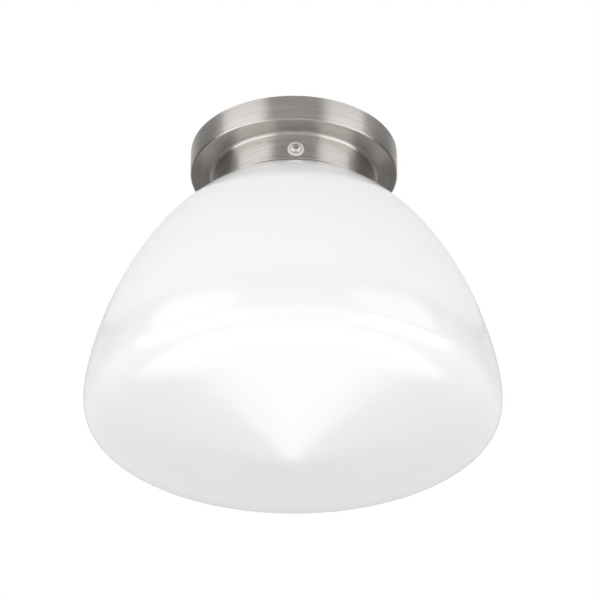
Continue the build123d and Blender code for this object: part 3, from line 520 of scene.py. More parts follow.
def setting_out_tree():
    """Puts a copy of a piece on each point, turned by the point's own angles."""
    inputs = [("Piece", "NodeSocketObject"), ("Material", "NodeSocketMaterial")]
    graph, given = new_tree("Setting out", inputs)
    piece = graph.node("GeometryNodeObjectInfo", sockets={"Object": given["Piece"]}, output="Geometry")
    turn = graph.node("GeometryNodeInputNamedAttribute", {"data_type": "FLOAT_VECTOR"}, {"Name": "turn"})
    spread = {"Points": given["Geometry"], "Instance": piece, "Rotation": turn}
    copies = graph.node("GeometryNodeInstanceOnPoints", sockets=spread)
    close_tree(graph, copies, given["Material"])
    return graph.tree


TREES = {}


def tree_of(name, maker):
    if name not in TREES:
        TREES[name] = maker()
    return TREES[name]


def grown(piece, tree, values):
    """Runs a tree on a piece and leaves its result as a plain mesh."""
    modifier = piece.modifiers.new(tree.name, "NODES")
    modifier.node_group = tree
    for item in tree.interface.items_tree:
        if item.item_type == "SOCKET" and item.in_out == "INPUT" and item.name in values:
            modifier[item.identifier] = values[item.name]
    return settled(piece)


def settled(piece):
    """Replaces a piece's mesh by its evaluated one and takes its modifiers off."""
    bpy.context.view_layer.update()
    graph = bpy.context.evaluated_depsgraph_get()
    mesh = bpy.data.meshes.new_from_object(piece.evaluated_get(graph), depsgraph=graph)
    piece.modifiers.clear()
    old = piece.data
    piece.data = mesh
    bpy.data.meshes.remove(old)
    mesh.name = piece.name
    return piece


def outwards(piece, crease=32.0):
    """Merges doubles, points the faces outwards and shades the piece smooth but for its creases."""
    shape = bmesh.new()
    shape.from_mesh(piece.data)
    bmesh.ops.remove_doubles(shape, verts=shape.verts, dist=0.0000005)
    bmesh.ops.dissolve_degenerate(shape, edges=shape.edges, dist=0.0000002)
    bmesh.ops.recalc_face_normals(shape, faces=shape.faces)
    shape.to_mesh(piece.data)
    shape.free()
    piece.data.shade_smooth()
    piece.data.set_sharp_from_angle(angle=math.radians(crease))
    return piece


# --- profiles, in millimetres --------------------------------------------------------------


def arc(centre, radius, start, end, steps):
    """Points on an arc, angles in degrees, in the plane of radius and height."""
    turns = [math.radians(start + (end - start) * step / steps) for step in range(steps + 1)]
    return [(centre[0] + radius * math.cos(turn), centre[1] + radius * math.sin(turn)) for turn in turns]


def cubic(points, steps):
    """Points on a cubic curve with four control points."""
    made = []
    for step in range(steps + 1):
        t = step / steps
        weights = ((1 - t) ** 3, 3 * t * (1 - t) ** 2, 3 * t * t * (1 - t), t**3)
        made.append(tuple(sum(w * p[axis] for w, p in zip(weights, points)) for axis in (0, 1)))
    return made


def rounded(corners, steps=6):
    """A line through corners (x, z, radius), each rounded by its radius. Ends stay sharp."""
    made = []
    for index, (x, z, radius) in enumerate(corners):
        if not radius or index in (0, len(corners) - 1):
            made.append((x, z))
            continue
        here = Vector((x, z))
        back = (Vector(corners[index - 1][:2]) - here).normalized()
        ahead = (Vector(corners[index + 1][:2]) - here).normalized()
        half = back.angle(ahead) / 2
        reach = radius / math.tan(half)
        centre = here + (back + ahead).normalized() * (radius / math.sin(half))
        first, last = here + back * reach - centre, here + ahead * reach - centre
        sweep = first.angle_signed(last)
        for step in range(steps + 1):
            spoke = first.copy()
            spoke.rotate(Matrix.Rotation(-sweep * step / steps, 2))
            made.append(tuple(centre + spoke))
    return made


def threaded(low, high, radius, depth, pitch, rows=8):
    """A straight run at one radius, cut into enough rows to carry a thread of that depth."""
    count = max(2, int(abs(high - low) / pitch * rows))
    fade = max(1, rows // 2)
    made = []
    for step in range(count + 1):
        cut = depth * min(1.0, step / fade, (count - step) / fade)
        made.append((radius, low + (high - low) * step / count, cut))
    return made


def added(name, data):
    """A new object in the scene."""
    piece = bpy.data.objects.new(name, data)
    bpy.context.scene.collection.objects.link(piece)
    return piece


def profile_piece(name, points):
    """An object whose vertices are the profile: radius, depth of cut, height."""
    mesh = bpy.data.meshes.new(name)
    spots = [(p[0] * MM, (p[2] if len(p) > 2 else 0.0) * MM, p[1] * MM) for p in points]
    mesh.from_pydata(spots, [(i, i + 1) for i in range(len(spots) - 1)], [])
    return added(name, mesh)


def turned(name, points, finish, segments=96, pitch=0.0, ribs=0, flats=0.0, crease=32.0):
    """A piece spun about Z from a profile in millimetres."""
    piece = profile_piece(name, points)
    values = {
        "Segments": segments,
        "Pitch": pitch * MM,
        "Ribs": ribs,
        "Flats": flats * MM,
        "Material": finish_of(finish),
    }
    grown(piece, tree_of("turning", turning_tree), values)
    return outwards(piece, crease)


def set_out(name, piece, places):
    """Copies of a piece at places ((x, y, z) in millimetres, (rx, ry, rz) in degrees)."""
    mesh = bpy.data.meshes.new(name)
    mesh.from_pydata([[value * MM for value in place] for place, _ in places], [], [])
    turns = mesh.attributes.new("turn", "FLOAT_VECTOR", "POINT")
    for index, (_, degrees) in enumerate(places):
        turns.data[index].vector = [math.radians(value) for value in degrees]
    values = {"Piece": piece, "Material": material_of(piece)}
    return grown(added(name, mesh), tree_of("setting out", setting_out_tree), values)


def material_of(piece):
    """The material of a grown piece. Any slot before its last one is empty."""
    return piece.data.materials[-1]


def discard(*pieces):
    for piece in pieces:
        bpy.data.objects.remove(piece)


def carve(piece, cutters, crease=32.0):
    """Cuts the cutters out of the piece."""
    for cutter in cutters:
        modifier = piece.modifiers.new("cut", "BOOLEAN")
        modifier.operation = "DIFFERENCE"
        modifier.solver = "EXACT"
        modifier.object = cutter
    settled(piece)
    discard(*cutters)
    return outwards(piece, crease)


def wedge(low, high, lower, upper, turn=0.0):
    """A tapering block: half sizes (x, y) at its lower and upper level, in millimetres."""
    spin = Matrix.Rotation(math.radians(turn), 3, "Z")
    corners = []
    for level, (half_x, half_y) in ((low, lower), (high, upper)):
        for x, y in ((-1, -1), (1, -1), (1, 1), (-1, 1)):
            corners.append(spin @ Vector((x * half_x, y * half_y, level)) * MM)
    faces = [(3, 2, 1, 0), (4, 5, 6, 7), (0, 1, 5, 4), (1, 2, 6, 5), (2, 3, 7, 6), (3, 0, 4, 7)]
    mesh = bpy.data.meshes.new("cutter")
    mesh.from_pydata(corners, [], faces)
    return added("cutter", mesh)


def put(piece, node, body="fixture"):
    """Hangs a finished piece on the body that carries it and hides the imported solid it stands for."""
    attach(piece, body)
    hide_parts(node)


def paint(finish, *nodes):
    """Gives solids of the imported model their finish."""
    for node in nodes:
        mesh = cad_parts[node].data
        mesh.materials.clear()
        mesh.materials.append(finish_of(finish))


# --- canopy and shade ----------------------------------------------------------------------


def canopy_profile(sizes):
    """Closed outline of the spun sheet: ring, step, gallery and rolled bead."""
    radius, depth, wall = sizes.radius / MM, sizes.depth / MM, sizes.wall / MM
    ring, mouth, bead = sizes.gallery_radius / MM, sizes.mouth / MM, sizes.bead / MM
    edge, root = sizes.edge / MM, sizes.root / MM
    side = math.degrees(math.acos(wall / 2 / bead))
    bead_arc = arc((ring - wall / 2, -mouth + bead), bead, side, -180 - side, 22)
    corners = [
        (radius - wall / 2, 0, 0),
        (radius, 0, 0.3),
        (radius, -depth, edge),
        (ring, -depth, root),
        (*bead_arc[0], 0.25),
        *[(*point, 0) for point in bead_arc[1:-1]],
        (*bead_arc[-1], 0.25),
        (ring - wall, -depth + wall, root + wall),
        (radius - wall, -depth + wall, max(edge - wall, 0.3)),
        (radius - wall, 0, 0.3),
        (radius - wall / 2, 0, 0),
    ]
    return rounded(corners, 10)


def shade_profile(sizes, inset):
    """The glass from its neck to its tip: the outside, or that line set in."""
    canopy = bpy.context.scene.ceiling_light_canopy
    slope, cone, upright = sizes.slope, sizes.cone_slope, -math.pi / 2
    start = (canopy.gallery_radius / MM, -canopy.mouth / MM - SHOULDER_GAP)
    widest = (sizes.radius / MM, -sizes.widest / MM)
    neck, tip, point = sizes.neck / MM, sizes.tip / MM, -sizes.point / MM
    cone_radius = sizes.cone_radius / MM
    rim_end = (cone_radius, point + cone_radius * math.tan(cone))
    turn = math.pi / 2 - slope
    flare = (start[0] - neck - NECK_HOLLOW * (1 - math.cos(turn))) / math.cos(slope)
    neck_z = start[1] + flare * math.sin(slope) + NECK_HOLLOW * math.sin(turn)
    bend = arc((neck + NECK_HOLLOW, neck_z), NECK_HOLLOW + inset, 180, 180 + math.degrees(turn), 10)
    dome = eased(start, (-slope, sizes.top_reach), widest, (upright, sizes.side_reach), inset, 84)
    rim = eased(widest, (upright, sizes.rim_reach), rim_end, (math.pi + cone, sizes.cone_reach), inset, 56)
    tip_arc = arc((0, point + tip / math.cos(cone)), tip - inset, -90 + math.degrees(cone), -90, 10)
    ends = list(zip(rim[-1], tip_arc[0]))
    side = [tuple(one + (two - one) * step / 16 for one, two in ends) for step in range(1, 16)]
    return bend + dome + rim[1:] + side + tip_arc[:-1] + [(0.0, tip_arc[-1][1])]


def eased(start, leave, end, arrive, inset, steps):
    """Smooth line between two points. leave and arrive are a heading in radians and a reach in metres."""
    places, headings = [], []
    for (x, z), (heading, _) in ((start, leave), (end, arrive)):
        places.append((x + inset * math.sin(heading), z - inset * math.cos(heading)))
        headings.append((math.cos(heading), math.sin(heading)))
    scale = math.dist(*places) / math.dist(start, end)
    reaches = (leave[1] / MM * scale, -arrive[1] / MM * scale)
    handles = [(x + r * c, z + r * s) for (x, z), (c, s), r in zip(places, headings, reaches)]
    return cubic([places[0], *handles, places[1]], steps)


def build_canopy():
    sizes = bpy.context.scene.ceiling_light_canopy
    piece = turned("canopy_shell", canopy_profile(sizes), "satin_nickel", 288)
    hole, middle = sizes.screw_hole / MM, sizes.gallery_radius / MM
    low, high = middle - DRILL_REACH, middle + DRILL_REACH
    drill = turned("drill", [(0, low), (hole, low), (hole, high), (0, high)], "zinc", 32)
    carve(piece, [set_out("drills", drill, clamp_places(*CLAMP_TURNS))])
    discard(drill)
    piece.data.materials.clear()
    piece.data.materials.append(finish_of("satin_nickel"))
    put(piece, "canopy")


def build_shade():
    sizes = bpy.context.scene.ceiling_light_shade
    neck, lip, wall = sizes.neck / MM, sizes.lip / MM, sizes.wall / MM
    outside, inside = shade_profile(sizes, 0.0), shade_profile(sizes, wall)
    low, high = -sizes.lip_low / MM, -sizes.lip_high / MM
    corners = [
        (neck - wall, (inside[0][1] + high) / 2, 0),
        (neck - wall, high, LIP_EDGE),
        (lip, high, LIP_EDGE),
        (lip, low, LIP_EDGE),
        (neck, low, 0.9),
        (*outside[0], 0),
    ]
    collar = rounded(corners, 8)
    points = collar[:-1] + outside + inside[::-1] + [collar[0]]
    put(turned("opal_shade", points, "opal", 240, crease=60.0), "glass_shade")


# --- clamp screws --------------------------------------------------------------------------


def clamp_places(*sides):
    """The places of the clamp screws on these sides, each turned to lie along its radius."""
    depth = bpy.context.scene.ceiling_light_clamps.depth / MM
    return [((0, 0, -depth), (0, 90, CLAMP_TURNS[side])) for side in sides]


def clamp_screw(sizes, seat):
    """A pan head screw with a cross recess and a socket for its soft tip."""
    head, height, shank = sizes.head / MM, sizes.height / MM, sizes.shank / MM
    top, pitch, socket = seat + height, sizes.pitch / MM, CLAMP_END + TIP_SOCKET
    crown = [
        (shank, seat, 0),
        (head, seat, 0.2),
        (head, seat + height * 0.45, 0.9),
        (head - 1.5, top - 0.22, 1.6),
        (0, top, 0),
    ]
    points = [(0, socket), (TIP_RADIUS, socket), (TIP_RADIUS, CLAMP_END), (1.6, CLAMP_END)]
    points += threaded(CLAMP_END + 0.4, seat - 1.2, shank, M4_THREAD[1], pitch) + [(shank, seat - 0.6)]
    screw = turned("clamp_screw", points + rounded(crown, 7), "bright_nickel", 56, pitch=pitch)
    recess = [wedge(top - 1.7, top + 0.4, (0.55, 0.3), (2.3, 0.5), turn) for turn in (45, 135)]
    return carve(screw, recess, 28.0)


def build_clamps():
    sizes = bpy.context.scene.ceiling_light_clamps
    canopy = bpy.context.scene.ceiling_light_canopy
    wall = canopy.gallery_radius / MM + WASHER_GAP
    top = wall + sizes.washer_height / MM
    screw = clamp_screw(sizes, top + FACE_GAP)
    bore = sizes.shank / MM + HOLE_FIT
    ring = flat_ring(bore, sizes.washer / MM, wall, top, (0.15, 0.4, 0.3), 0.1, 6)
    washer = turned("clamp_washer", ring, "nylon", 72)
    socket = CLAMP_END + TIP_SOCKET
    pellet = [(0, CLAMP_TIP, 0), (TIP_RADIUS, CLAMP_TIP, 0.5), (TIP_RADIUS, socket, 0.1), (0, socket, 0)]
    tip = turned("clamp_tip", rounded(pellet, 6), "nylon", 32)
    kinds = (("screw", screw, "screw"), ("washer", washer, "washer"), ("tip", tip, "screw"))
    for side in CLAMP_TURNS:
        for kind, master, body in kinds:
            piece = set_out(f"{kind}_{side}", master, clamp_places(side))
            put(piece, f"clamp_{kind}_{side}", f"{body}_{side}")
    inside = (canopy.gallery_radius - canopy.wall) / MM
    face = math.sqrt(inside**2 - (NUT_FLATS / math.sqrt(3)) ** 2)
    nut = hexagon_nut("weld_nut", face - NUT_HEIGHT)
    put(set_out("weld_nuts", nut, clamp_places(*CLAMP_TURNS)), "clamp_weld_nuts")
    discard(screw, washer, tip, nut)


# --- shared hardware -----------------------------------------------------------------------


def flat_ring(bore, broad, low, high, edges, rise=0.4, steps=4):
    """A washer's closed outline, from a point that rise above its low side in the bore.

    Its edges are the roundings of the bore, the upper and the lower outer edge.
    """
    inner, upper, lower = edges
    start = (bore, low + rise, 0)
    outer = [(broad, high, upper), (broad, low, lower)]
    return rounded([start, (bore, high, inner), *outer, (bore, low, inner), start], steps)


def slotted_screw(name, finish, end, thread, head, slot=(0.8, 0.35), steps=6, segments=32):
    """A screw with a slot of that depth and half width across its head."""
    top, reach = head[-1][1], head[-2][0] + 1.0
    points = end + threaded(*thread) + rounded(head, steps)
    screw = turned(name, points, finish, segments, pitch=thread[-1])
    half = (reach, slot[1])
    return carve(screw, [wedge(top - slot[0], top + 0.6, half, half)], 28.0)


def hexagon_nut(name, low, finish="zinc", height=NUT_HEIGHT, flats=NUT_FLATS, bore=2.05, segments=72):
    """A nut with its corners turned off at both ends and a countersunk bore."""
    corner, high = flats / math.sqrt(3), low + height
    off = corner - flats / 2 * 0.97
    fall = off * math.tan(math.radians(30))
    points = [
        (bore, low + height / 2),
        (bore, high - 0.35),
        (bore + 0.35, high),
        (corner - off, high),
        (corner + 0.01, high - fall),
        (corner + 0.01, low + fall),
        (corner - off, low),
        (bore + 0.35, low),
        (bore, low + 0.35),
        (bore, low + height / 2),
    ]
    return turned(name, points, finish, segments, flats=flats, crease=20.0)


# --- strap, studs and plate ----------------------------------------------------------------


def build_strap():
    paint("zinc", "ceiling_strap", "carrier_plate")
    studs = [((side * 50, 0, 0), (0, 0, 90 * side)) for side in (-1, 1)]
    head = [(2.0, -4.6, 0), (2.0, -4.0, 0), (3.5, -4.0, 0.2), (3.5, -1.6, 0.8), (0, -1.6, 0)]
    screw = slotted_screw("stud", "zinc", [(0, -25.1), (1.5, -25.1)], (-24.7, -5.2, *M4_THREAD), head)
    put(set_out("studs", screw, studs), "strap_screws")
    upper, lower = hexagon_nut("upper_nut", -8.7), hexagon_nut("lower_nut", -23.8)
    turned_places = [(place, (0, 0, 17 + 20 * index)) for index, (place, _) in enumerate(studs)]
    put(set_out("locknuts", upper, turned_places), "strap_locknuts")
    put(set_out("plate_nuts", lower, turned_places), "canopy_nuts")
    washer = turned("flat_washer", flat_ring(2.25, 4.5, -20.6, -19.8, (0.1, 0.2, 0.2)), "zinc", 48)
    put(set_out("plate_washers", washer, studs), "canopy_nut_washers")
    discard(screw, upper, lower, washer)


# --- lampholder and bulb -------------------------------------------------------------------


def build_lampholder():
    paint("porcelain", "lampholder_base")
    paint("brass", "centre_contact", "side_contact", "lampholder_terminals")
    paint("zinc", "lampholder_terminal_screws")
    tube = [(3.7, -20), (3.7, -26.5), (4.0, -26.8), (4.5, -26.8)] + threaded(-26.3, -14.1, 5.0, 0.55, 1.0)
    tube += [(4.5, -13.6), (4.0, -13.6), (3.7, -13.9), (3.7, -20)]
    put(turned("nipple", tube, "zinc", 48, pitch=1.0), "lampholder_nipple")
    put(hexagon_nut("thin_nut", -17.8, height=3.0, flats=14.0, bore=5.05, segments=96), "nipple_nut")
    star = [(5.25, -18.2), (5.25, -17.8), (6.6, -17.8), (7.98, -17.85, 1.0)]
    star += [(7.98, -18.55, 1.0), (6.6, -18.6), (5.25, -18.6), (5.25, -18.2)]
    put(turned("star_washer", star, "zinc", 144, ribs=12), "nipple_lock_washer")
    bush = [(3.1, -16, 0), (3.1, -12.7, 0.5), (5.0, -12.7, 0.4), (5.0, -13.6, 0.2)]
    bush += [(3.7, -13.6, 0), (3.7, -18.6, 0.2), (3.1, -18.6, 0.2), (3.1, -16, 0)]
    put(turned("lead_bush", rounded(bush, 5), "black", 48), "nipple_bush")
    build_holder_body()
    shell = [(11.0, -59.4), (11.0, -59.1), (13.4, -59.1)] + rolled(14.3, -59.8, -78.6) + [(14.0, -79.1)]
    shell += rolled(13.7, -78.4, -60.4) + [(13.2, -59.7), (11.0, -59.7), (11.0, -59.4)]
    put(turned("screw_shell", shell, "shell", 72, pitch=CAP_THREAD[1]), "lampholder_shell")


def rolled(radius, start, end):
    """A wall that carries the lamp cap's rounded thread."""
    return threaded(start, end, radius, *CAP_THREAD, 14)


def build_holder_body():
    """The cap with its fine grip and the ribbed skirt."""
    bore, top, low, grip_top = 5.05, -19.8, -47.8, -34.0
    cap = [
        (bore, -22, 0),
        (bore, top, 0.3),
        (9.5, top, 0.8),
        (9.5, top - 3, 1.5),
        (HOLDER, top - 9, 4.0),
        (HOLDER, grip_top, 0),
    ]
    grip = threaded(grip_top, -47.0, HOLDER, 0.45, 2.0, 4)
    inner = [(HOLDER, low + 0.4, 0), (HOLDER, low, 0), (18.3, low, 0.3), (18.3, top - 11.2, 2.0)]
    inner += [(11.7, -26.75, 0), (bore, -26.75, 0.2), (bore, -22, 0)]
    points = rounded(cap, 8)[:-1] + grip + rounded(inner, 5)
    put(turned("holder_cap", points, "black", 240, ribs=60), "lampholder_cap")
    inside, bottom, ledge = 16.35, -80.8, -58.95
    upper = [(inside, ledge, 0), (inside, -42.8, 0.3), (18.0, -42.8, 0.4), (18.0, -48.1, 0)]
    upper += [(HOLDER, -48.1, 0.8), (HOLDER, -54.0, 0)]
    ribs = threaded(-54.0, -74.0, HOLDER, 0.7, 3.0, 6)
    lower = [(HOLDER, -74.0, 0), (HOLDER, bottom, 1.2), (14.6, bottom, 1.0)]
    lower += [(14.6, ledge, 0), (inside, ledge, 0)]
    points = rounded(upper, 5)[:-1] + ribs + rounded(lower, 6)[1:]
    put(turned("holder_skirt", points, "black", 216, ribs=18), "lampholder_skirt")


def build_bulb():
    top, cap_low = CAP_TOP, CAP_TOP - CAP_LENGTH
    contact = [(0, top - 1.4, 0), (4.8, top - 1.4, 0.2), (4.8, top - 0.5, 0.5)]
    contact += [(3.4, top, 0.8), (0, top, 0)]
    put(turned("tip_contact", rounded(contact, 6), "brass", 48), "bulb_contact", "bulb")
    cone = [(0, top - 4.8, 0), (10.45, top - 4.8, 0.3), (5.4, top - 1.4, 0.4), (0, top - 1.4, 0)]
    put(turned("cap_insulator", rounded(cone, 5), "black_glass", 64), "bulb_insulator", "bulb")
    mouth = top - 4.2
    outer = [(10.5, mouth - 0.3), (10.75, mouth), (11.0, mouth), (12.4, mouth - 1.5)]
    outer += rolled(13.2, mouth - 2.9, cap_low + 0.9) + [(13.2, cap_low)]
    inner = [(12.7, cap_low)] + rolled(12.7, cap_low + 0.9, mouth - 2.9)
    inner += [(12.0, mouth - 1.7), (10.5, mouth - 0.5), (10.5, mouth - 0.3)]
    put(turned("screw_cap", outer + inner, "bulb_metal", 72, pitch=CAP_THREAD[1]), "bulb_cap", "bulb")
    build_bulb_body(top, cap_low)


def build_bulb_body(top, cap_low):
    """Collar with shallow cooling grooves, and the frosted bowl."""
    low = cap_low - 34.0
    flare = cubic([(14.2, cap_low - 0.6), (14.2, cap_low - 17), (27.6, low + 11.3), (29.6, low + 0.3)], 40)
    grooved = [(x, z, 0.35 * min(1.0, i / 6, (40 - i) / 8)) for i, (x, z) in enumerate(flare)]
    plug = 11.6
    points = [(0, cap_low + 6), (plug - 0.4, cap_low + 6), (plug, cap_low + 5.6), (plug, cap_low)]
    points += [(13.9, cap_low)] + grooved + [(29.3, low), (0, low)]
    put(turned("bulb_body", points, "collar", 240, ribs=24), "bulb_collar", "bulb")
    bowl, wall = 30.0, 1.2
    bottom, hollow = top - 107.0, bowl - wall
    centre = bottom + bowl
    outside = [(hollow, low), (bowl - 0.2, low), (bowl, low - 0.3)] + arc((0, centre), bowl, 0, -90, 40)
    inside = arc((0, centre), hollow, -90, 0, 40)
    points = outside[:-1] + [(0, bottom), (0, bottom + wall)] + inside[1:] + [(hollow, low)]
    put(turned("bulb_bowl", points, "bulb", 96), "bulb_envelope", "bulb")


# --- terminal block, earth point and leads -------------------------------------------------


def build_wiring():
    paint("block", "terminal_block_body")
    paint("brass", "terminal_block_barrels", "earth_tag")
    paint("zinc", "terminal_block_screws")
    paint("line", "lead_line")
    paint("neutral", "lead_neutral")
    paint("earth", "earth_lead")
    build_earth_point()
    places = [((side * 18.4, 34, 0), (0, 0, 35 * side)) for side in (-1, 1)]
    head = [(1.5, -15.0, 0), (1.5, -14.6, 0), (2.8, -14.6, 0.15), (2.8, -12.6, 0.7), (0, -12.6, 0)]
    thread = (-21.0, -15.4, 1.5, 0.35, 0.9)
    screw = slotted_screw("block_screw", "zinc", [(0, -21.8), (0.6, -21.6)], thread, head)
    put(set_out("block_screws", screw, places), "terminal_block_fixings")
    discard(screw)


def build_earth_point():
    """Brass screw, spring washer and nut at the ring tag."""
    place = [((37, 9, 0), (0, 0, 25))]
    head = [(2.0, -16.9, 0), (4.0, -16.9, 0.2), (4.0, -14.3, 1.5), (0, -14.3, 0)]
    end, thread = [(0, -23.8), (1.5, -23.8)], (-23.4, -17.3, *M4_THREAD)
    screw = slotted_screw("earth_bolt", "brass", end, thread, head, (0.9, 0.4), 7, 40)
    put(set_out("earth_bolt_placed", screw, place), "earth_screw")
    nut = hexagon_nut("earth_bolt_nut", -23.0, "brass")
    put(set_out("earth_nut_placed", nut, place), "earth_nut")
    ring = flat_ring(2.25, 3.6, -17.8, -16.9, (0.15, 0.2, 0.2))
    washer = turned("spring_washer", ring, "zinc", 48)
    put(set_out("spring_washer_placed", washer, place), "earth_washer")
    discard(screw, nut, washer)


# --- studio --------------------------------------------------------------------------------


def build_stage():
    settings = bpy.context.scene.ceiling_light_stage
    build_camera(settings)
    build_world(settings)
    floor = card("studio_floor", -settings.floor, 7.0, floor_finish(0.86))
    grey = shaded_card("grey_card", 0.3, 0.02, 0.58, over_and_behind)
    ceiling = card("grey_ceiling_card", STUDIO_TOP, 6.0, grey)
    ceiling.visible_camera = False
    dark = shaded_card("dark_card", 0.1, 0.1, 0.55, middle_of_back)
    back = back_card("grey_back_card", -settings.floor, dark)
    back.visible_camera = False
    softbox("softbox_left", (-58.0, -19.0, 2.2), (2.4, 1.95), settings.left_light)
    softbox("softbox_right", (59.0, -19.0, 2.2), (2.05, 1.95), settings.right_light)
    glow_card("glow_high_left", (-56.0, 26.0, 2.1), (2.1, 1.55), settings.high_left_light)
    glow_card("glow_high_right", (54.0, 26.5, 2.1), (2.0, 1.55), settings.high_right_light)
    glow_card("glow_below", (180.0, -74.0, 2.0), (2.6, 2.2), settings.low_light)
    bpy.context.scene.view_settings.view_transform = "Standard"


def build_camera(settings):
    """Looks up at the lamp from below its level, a little off its front."""
    data = bpy.data.cameras.new("camera")
    data.lens = settings.lens
    data.clip_start, data.clip_end = 0.05, 60.0
    camera = added("camera", data)
    back = direction(settings.azimuth, settings.elevation)
    target = Vector((0, 0, -settings.target))
    camera.location = target + back * settings.distance
    facing = (-back).to_track_quat("-Z", "Y")
    aim = target + facing @ Vector((settings.aim_right, -settings.aim_down, 0))
    facing = (aim - camera.location).to_track_quat("-Z", "Y")
    camera.rotation_mode = "QUATERNION"
    camera.rotation_quaternion = facing @ Matrix.Rotation(settings.roll, 3, "Z").to_quaternion()
    bpy.context.scene.camera = camera


def build_world(settings):
    """White behind the lamp and in its reflections, softer where it lights."""
    world = bpy.data.worlds.new("studio")
    world.use_nodes = True
    graph = Graph(world.node_tree)
    background = world.node_tree.nodes["Background"]
    path = world.node_tree.nodes.new("ShaderNodeLightPath")
    seen = Value(graph, path.outputs["Is Camera Ray"])
    for label in ("Is Glossy Ray", "Is Transmission Ray"):
        seen = seen.math("MAXIMUM", Value(graph, path.outputs[label]))
    background.inputs["Color"].default_value = (1, 1, 1, 1)
    graph.feed(background.inputs["Strength"], settings.surround + (1 - settings.surround) * seen)
    bpy.context.scene.world = world


def card(name, height, radius, material):
    """A level disc of the studio."""
    shape = bmesh.new()
    bmesh.ops.create_circle(shape, cap_ends=True, radius=radius, segments=64)
    bmesh.ops.translate(shape, verts=shape.verts, vec=(0, 0, height))
    return studio_piece(name, shape, material)


def back_card(name, low, material):
    """An upright curved card behind the lamp, from a low level to the studio's top."""
    shape = bmesh.new()
    rows = []
    for number in range(33):
        turn = math.radians(90 + BACK_SWEEP * (number / 16 - 1))
        x, y = BACK_DISTANCE * math.cos(turn), BACK_DISTANCE * math.sin(turn)
        rows.append((shape.verts.new((x, y, low)), shape.verts.new((x, y, STUDIO_TOP))))
    for one, two in zip(rows, rows[1:]):
        shape.faces.new((one[0], one[1], two[1], two[0]))
    return studio_piece(name, shape, material)


def studio_piece(name, shape, material):
    mesh = bpy.data.meshes.new(name)
    shape.to_mesh(mesh)
    shape.free()
    mesh.materials.append(material)
    return added(name, mesh)


def direction(turn, rise):
    """Unit vector at a turn from the lamp's front and a rise above the level, in radians."""
    return Vector((math.sin(turn) * math.cos(rise), -math.cos(turn) * math.cos(rise), math.sin(rise)))


def stand(piece, place, depth, facing):
    """Puts a piece of the studio at an azimuth and elevation in degrees and a distance in metres."""
    azimuth, elevation, distance = place
    away = direction(math.radians(azimuth), math.radians(elevation))
    piece.location = Vector((0, 0, -depth)) + away * distance
    piece.rotation_mode = "QUATERNION"
    piece.rotation_quaternion = (away * facing).to_track_quat("Z", "Y")
    piece.visible_camera = False
    return piece


def glow_card(name, place, size, brightness):
    """A card that glows towards the lamp and fades towards its edges."""
    finish = Finish(name, roughness=1.0, base_color=(0, 0, 0), specular_ior_level=0.0)
    x, y, _ = finish.parts(finish.place)
    faces = finish.node("ShaderNodeNewGeometry", output="Backfacing")
    fade = 1.0
    for across, half in ((x, size[0] / 2), (y, size[1] / 2)):
        near = (half - across.math("ABSOLUTE")) / FADE
        fade = fade * near.math("MINIMUM", 1.0).math("MAXIMUM", 0.0)
    finish.set(emission_color=(1, 1, 1), emission_strength=fade * (1 - faces) * brightness)
    shape = bmesh.new()
    bmesh.ops.create_grid(shape, x_segments=1, y_segments=1, size=0.5)
    bmesh.ops.scale(shape, verts=shape.verts, vec=(*size, 1))
    return stand(studio_piece(name, shape, finish.material), place, 0.2, -1)


def softbox(name, place, size, brightness):
    """A soft rectangular light that faces the lamp."""
    data = bpy.data.lights.new(name, "AREA")
    data.shape = "RECTANGLE"
    data.size, data.size_y = size
    data.energy = brightness * size[0] * size[1] * math.pi
    stand(added(name, data), place, 0.1, 1)


# --- operators and panel -------------------------------------------------------------------


class CEILINGLIGHT_OT_canopy(bpy.types.Operator):
    """Build the spun canopy with its step, gallery and bead"""

    bl_idname = "ceiling_light.canopy"
    bl_label = "Canopy"

    def execute(self, context):
        build_canopy()
        return {"FINISHED"}


class CEILINGLIGHT_OT_shade(bpy.types.Operator):
    """Build the opal glass shade"""

    bl_idname = "ceiling_light.shade"
    bl_label = "Glass shade"

    def execute(self, context):
        build_shade()
        return {"FINISHED"}


class CEILINGLIGHT_OT_clamps(bpy.types.Operator):
    """Build the clamp screws with their washers, tips and weld nuts"""

    bl_idname = "ceiling_light.clamps"
    bl_label = "Clamp screws"

    def execute(self, context):
        build_clamps()
        return {"FINISHED"}


class CEILINGLIGHT_OT_strap(bpy.types.Operator):
    """Finish the strap and plate and build the studs, nuts and washers"""

    bl_idname = "ceiling_light.strap"
    bl_label = "Ceiling strap"

    def execute(self, context):
        build_strap()
        return {"FINISHED"}


class CEILINGLIGHT_OT_lampholder(bpy.types.Operator):
    """Build the lampholder and its nipple"""

    bl_idname = "ceiling_light.lampholder"
    bl_label = "Lampholder"

    def execute(self, context):
        build_lampholder()
        return {"FINISHED"}


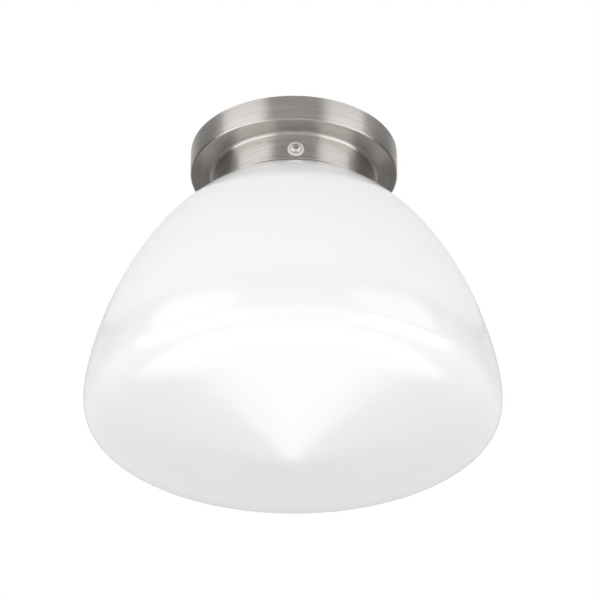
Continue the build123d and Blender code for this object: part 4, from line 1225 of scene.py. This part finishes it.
class CEILINGLIGHT_OT_bulb(bpy.types.Operator):
    """Build the bulb with its screw cap"""

    bl_idname = "ceiling_light.bulb"
    bl_label = "Bulb"

    def execute(self, context):
        build_bulb()
        return {"FINISHED"}


class CEILINGLIGHT_OT_wiring(bpy.types.Operator):
    """Finish the terminal block and leads and build their screws"""

    bl_idname = "ceiling_light.wiring"
    bl_label = "Wiring"

    def execute(self, context):
        build_wiring()
        return {"FINISHED"}


class CEILINGLIGHT_OT_stage(bpy.types.Operator):
    """Build the studio, its lights and the camera"""

    bl_idname = "ceiling_light.stage"
    bl_label = "Stage"

    def execute(self, context):
        build_stage()
        return {"FINISHED"}


class CEILINGLIGHT_PT_panel(bpy.types.Panel):
    """Lists the pieces of the ceiling light"""

    bl_label = "Ceiling light"
    bl_space_type = "VIEW_3D"
    bl_region_type = "UI"
    bl_category = "Ceiling light"

    def draw(self, context):
        for operator in OPERATORS:
            self.layout.operator(operator.bl_idname)
        for name, group in GROUPS.items():
            box = self.layout.box()
            for setting in group.__annotations__:
                box.prop(getattr(context.scene, name), setting)


OPERATORS = (
    CEILINGLIGHT_OT_stage,
    CEILINGLIGHT_OT_canopy,
    CEILINGLIGHT_OT_shade,
    CEILINGLIGHT_OT_clamps,
    CEILINGLIGHT_OT_strap,
    CEILINGLIGHT_OT_lampholder,
    CEILINGLIGHT_OT_bulb,
    CEILINGLIGHT_OT_wiring,
)


def register():
    for group in GROUPS.values():
        bpy.utils.register_class(group)
    for name, group in GROUPS.items():
        setattr(bpy.types.Scene, name, bpy.props.PointerProperty(type=group))
    for operator in OPERATORS:
        bpy.utils.register_class(operator)
    bpy.utils.register_class(CEILINGLIGHT_PT_panel)


def unregister():
    bpy.utils.unregister_class(CEILINGLIGHT_PT_panel)
    for operator in reversed(OPERATORS):
        bpy.utils.unregister_class(operator)
    for name in GROUPS:
        delattr(bpy.types.Scene, name)
    for group in reversed(list(GROUPS.values())):
        bpy.utils.unregister_class(group)


def main():
    register()
    for operator in OPERATORS:
        getattr(bpy.ops.ceiling_light, operator.bl_idname.split(".")[1])()


if __name__ == "__main__":
    main()
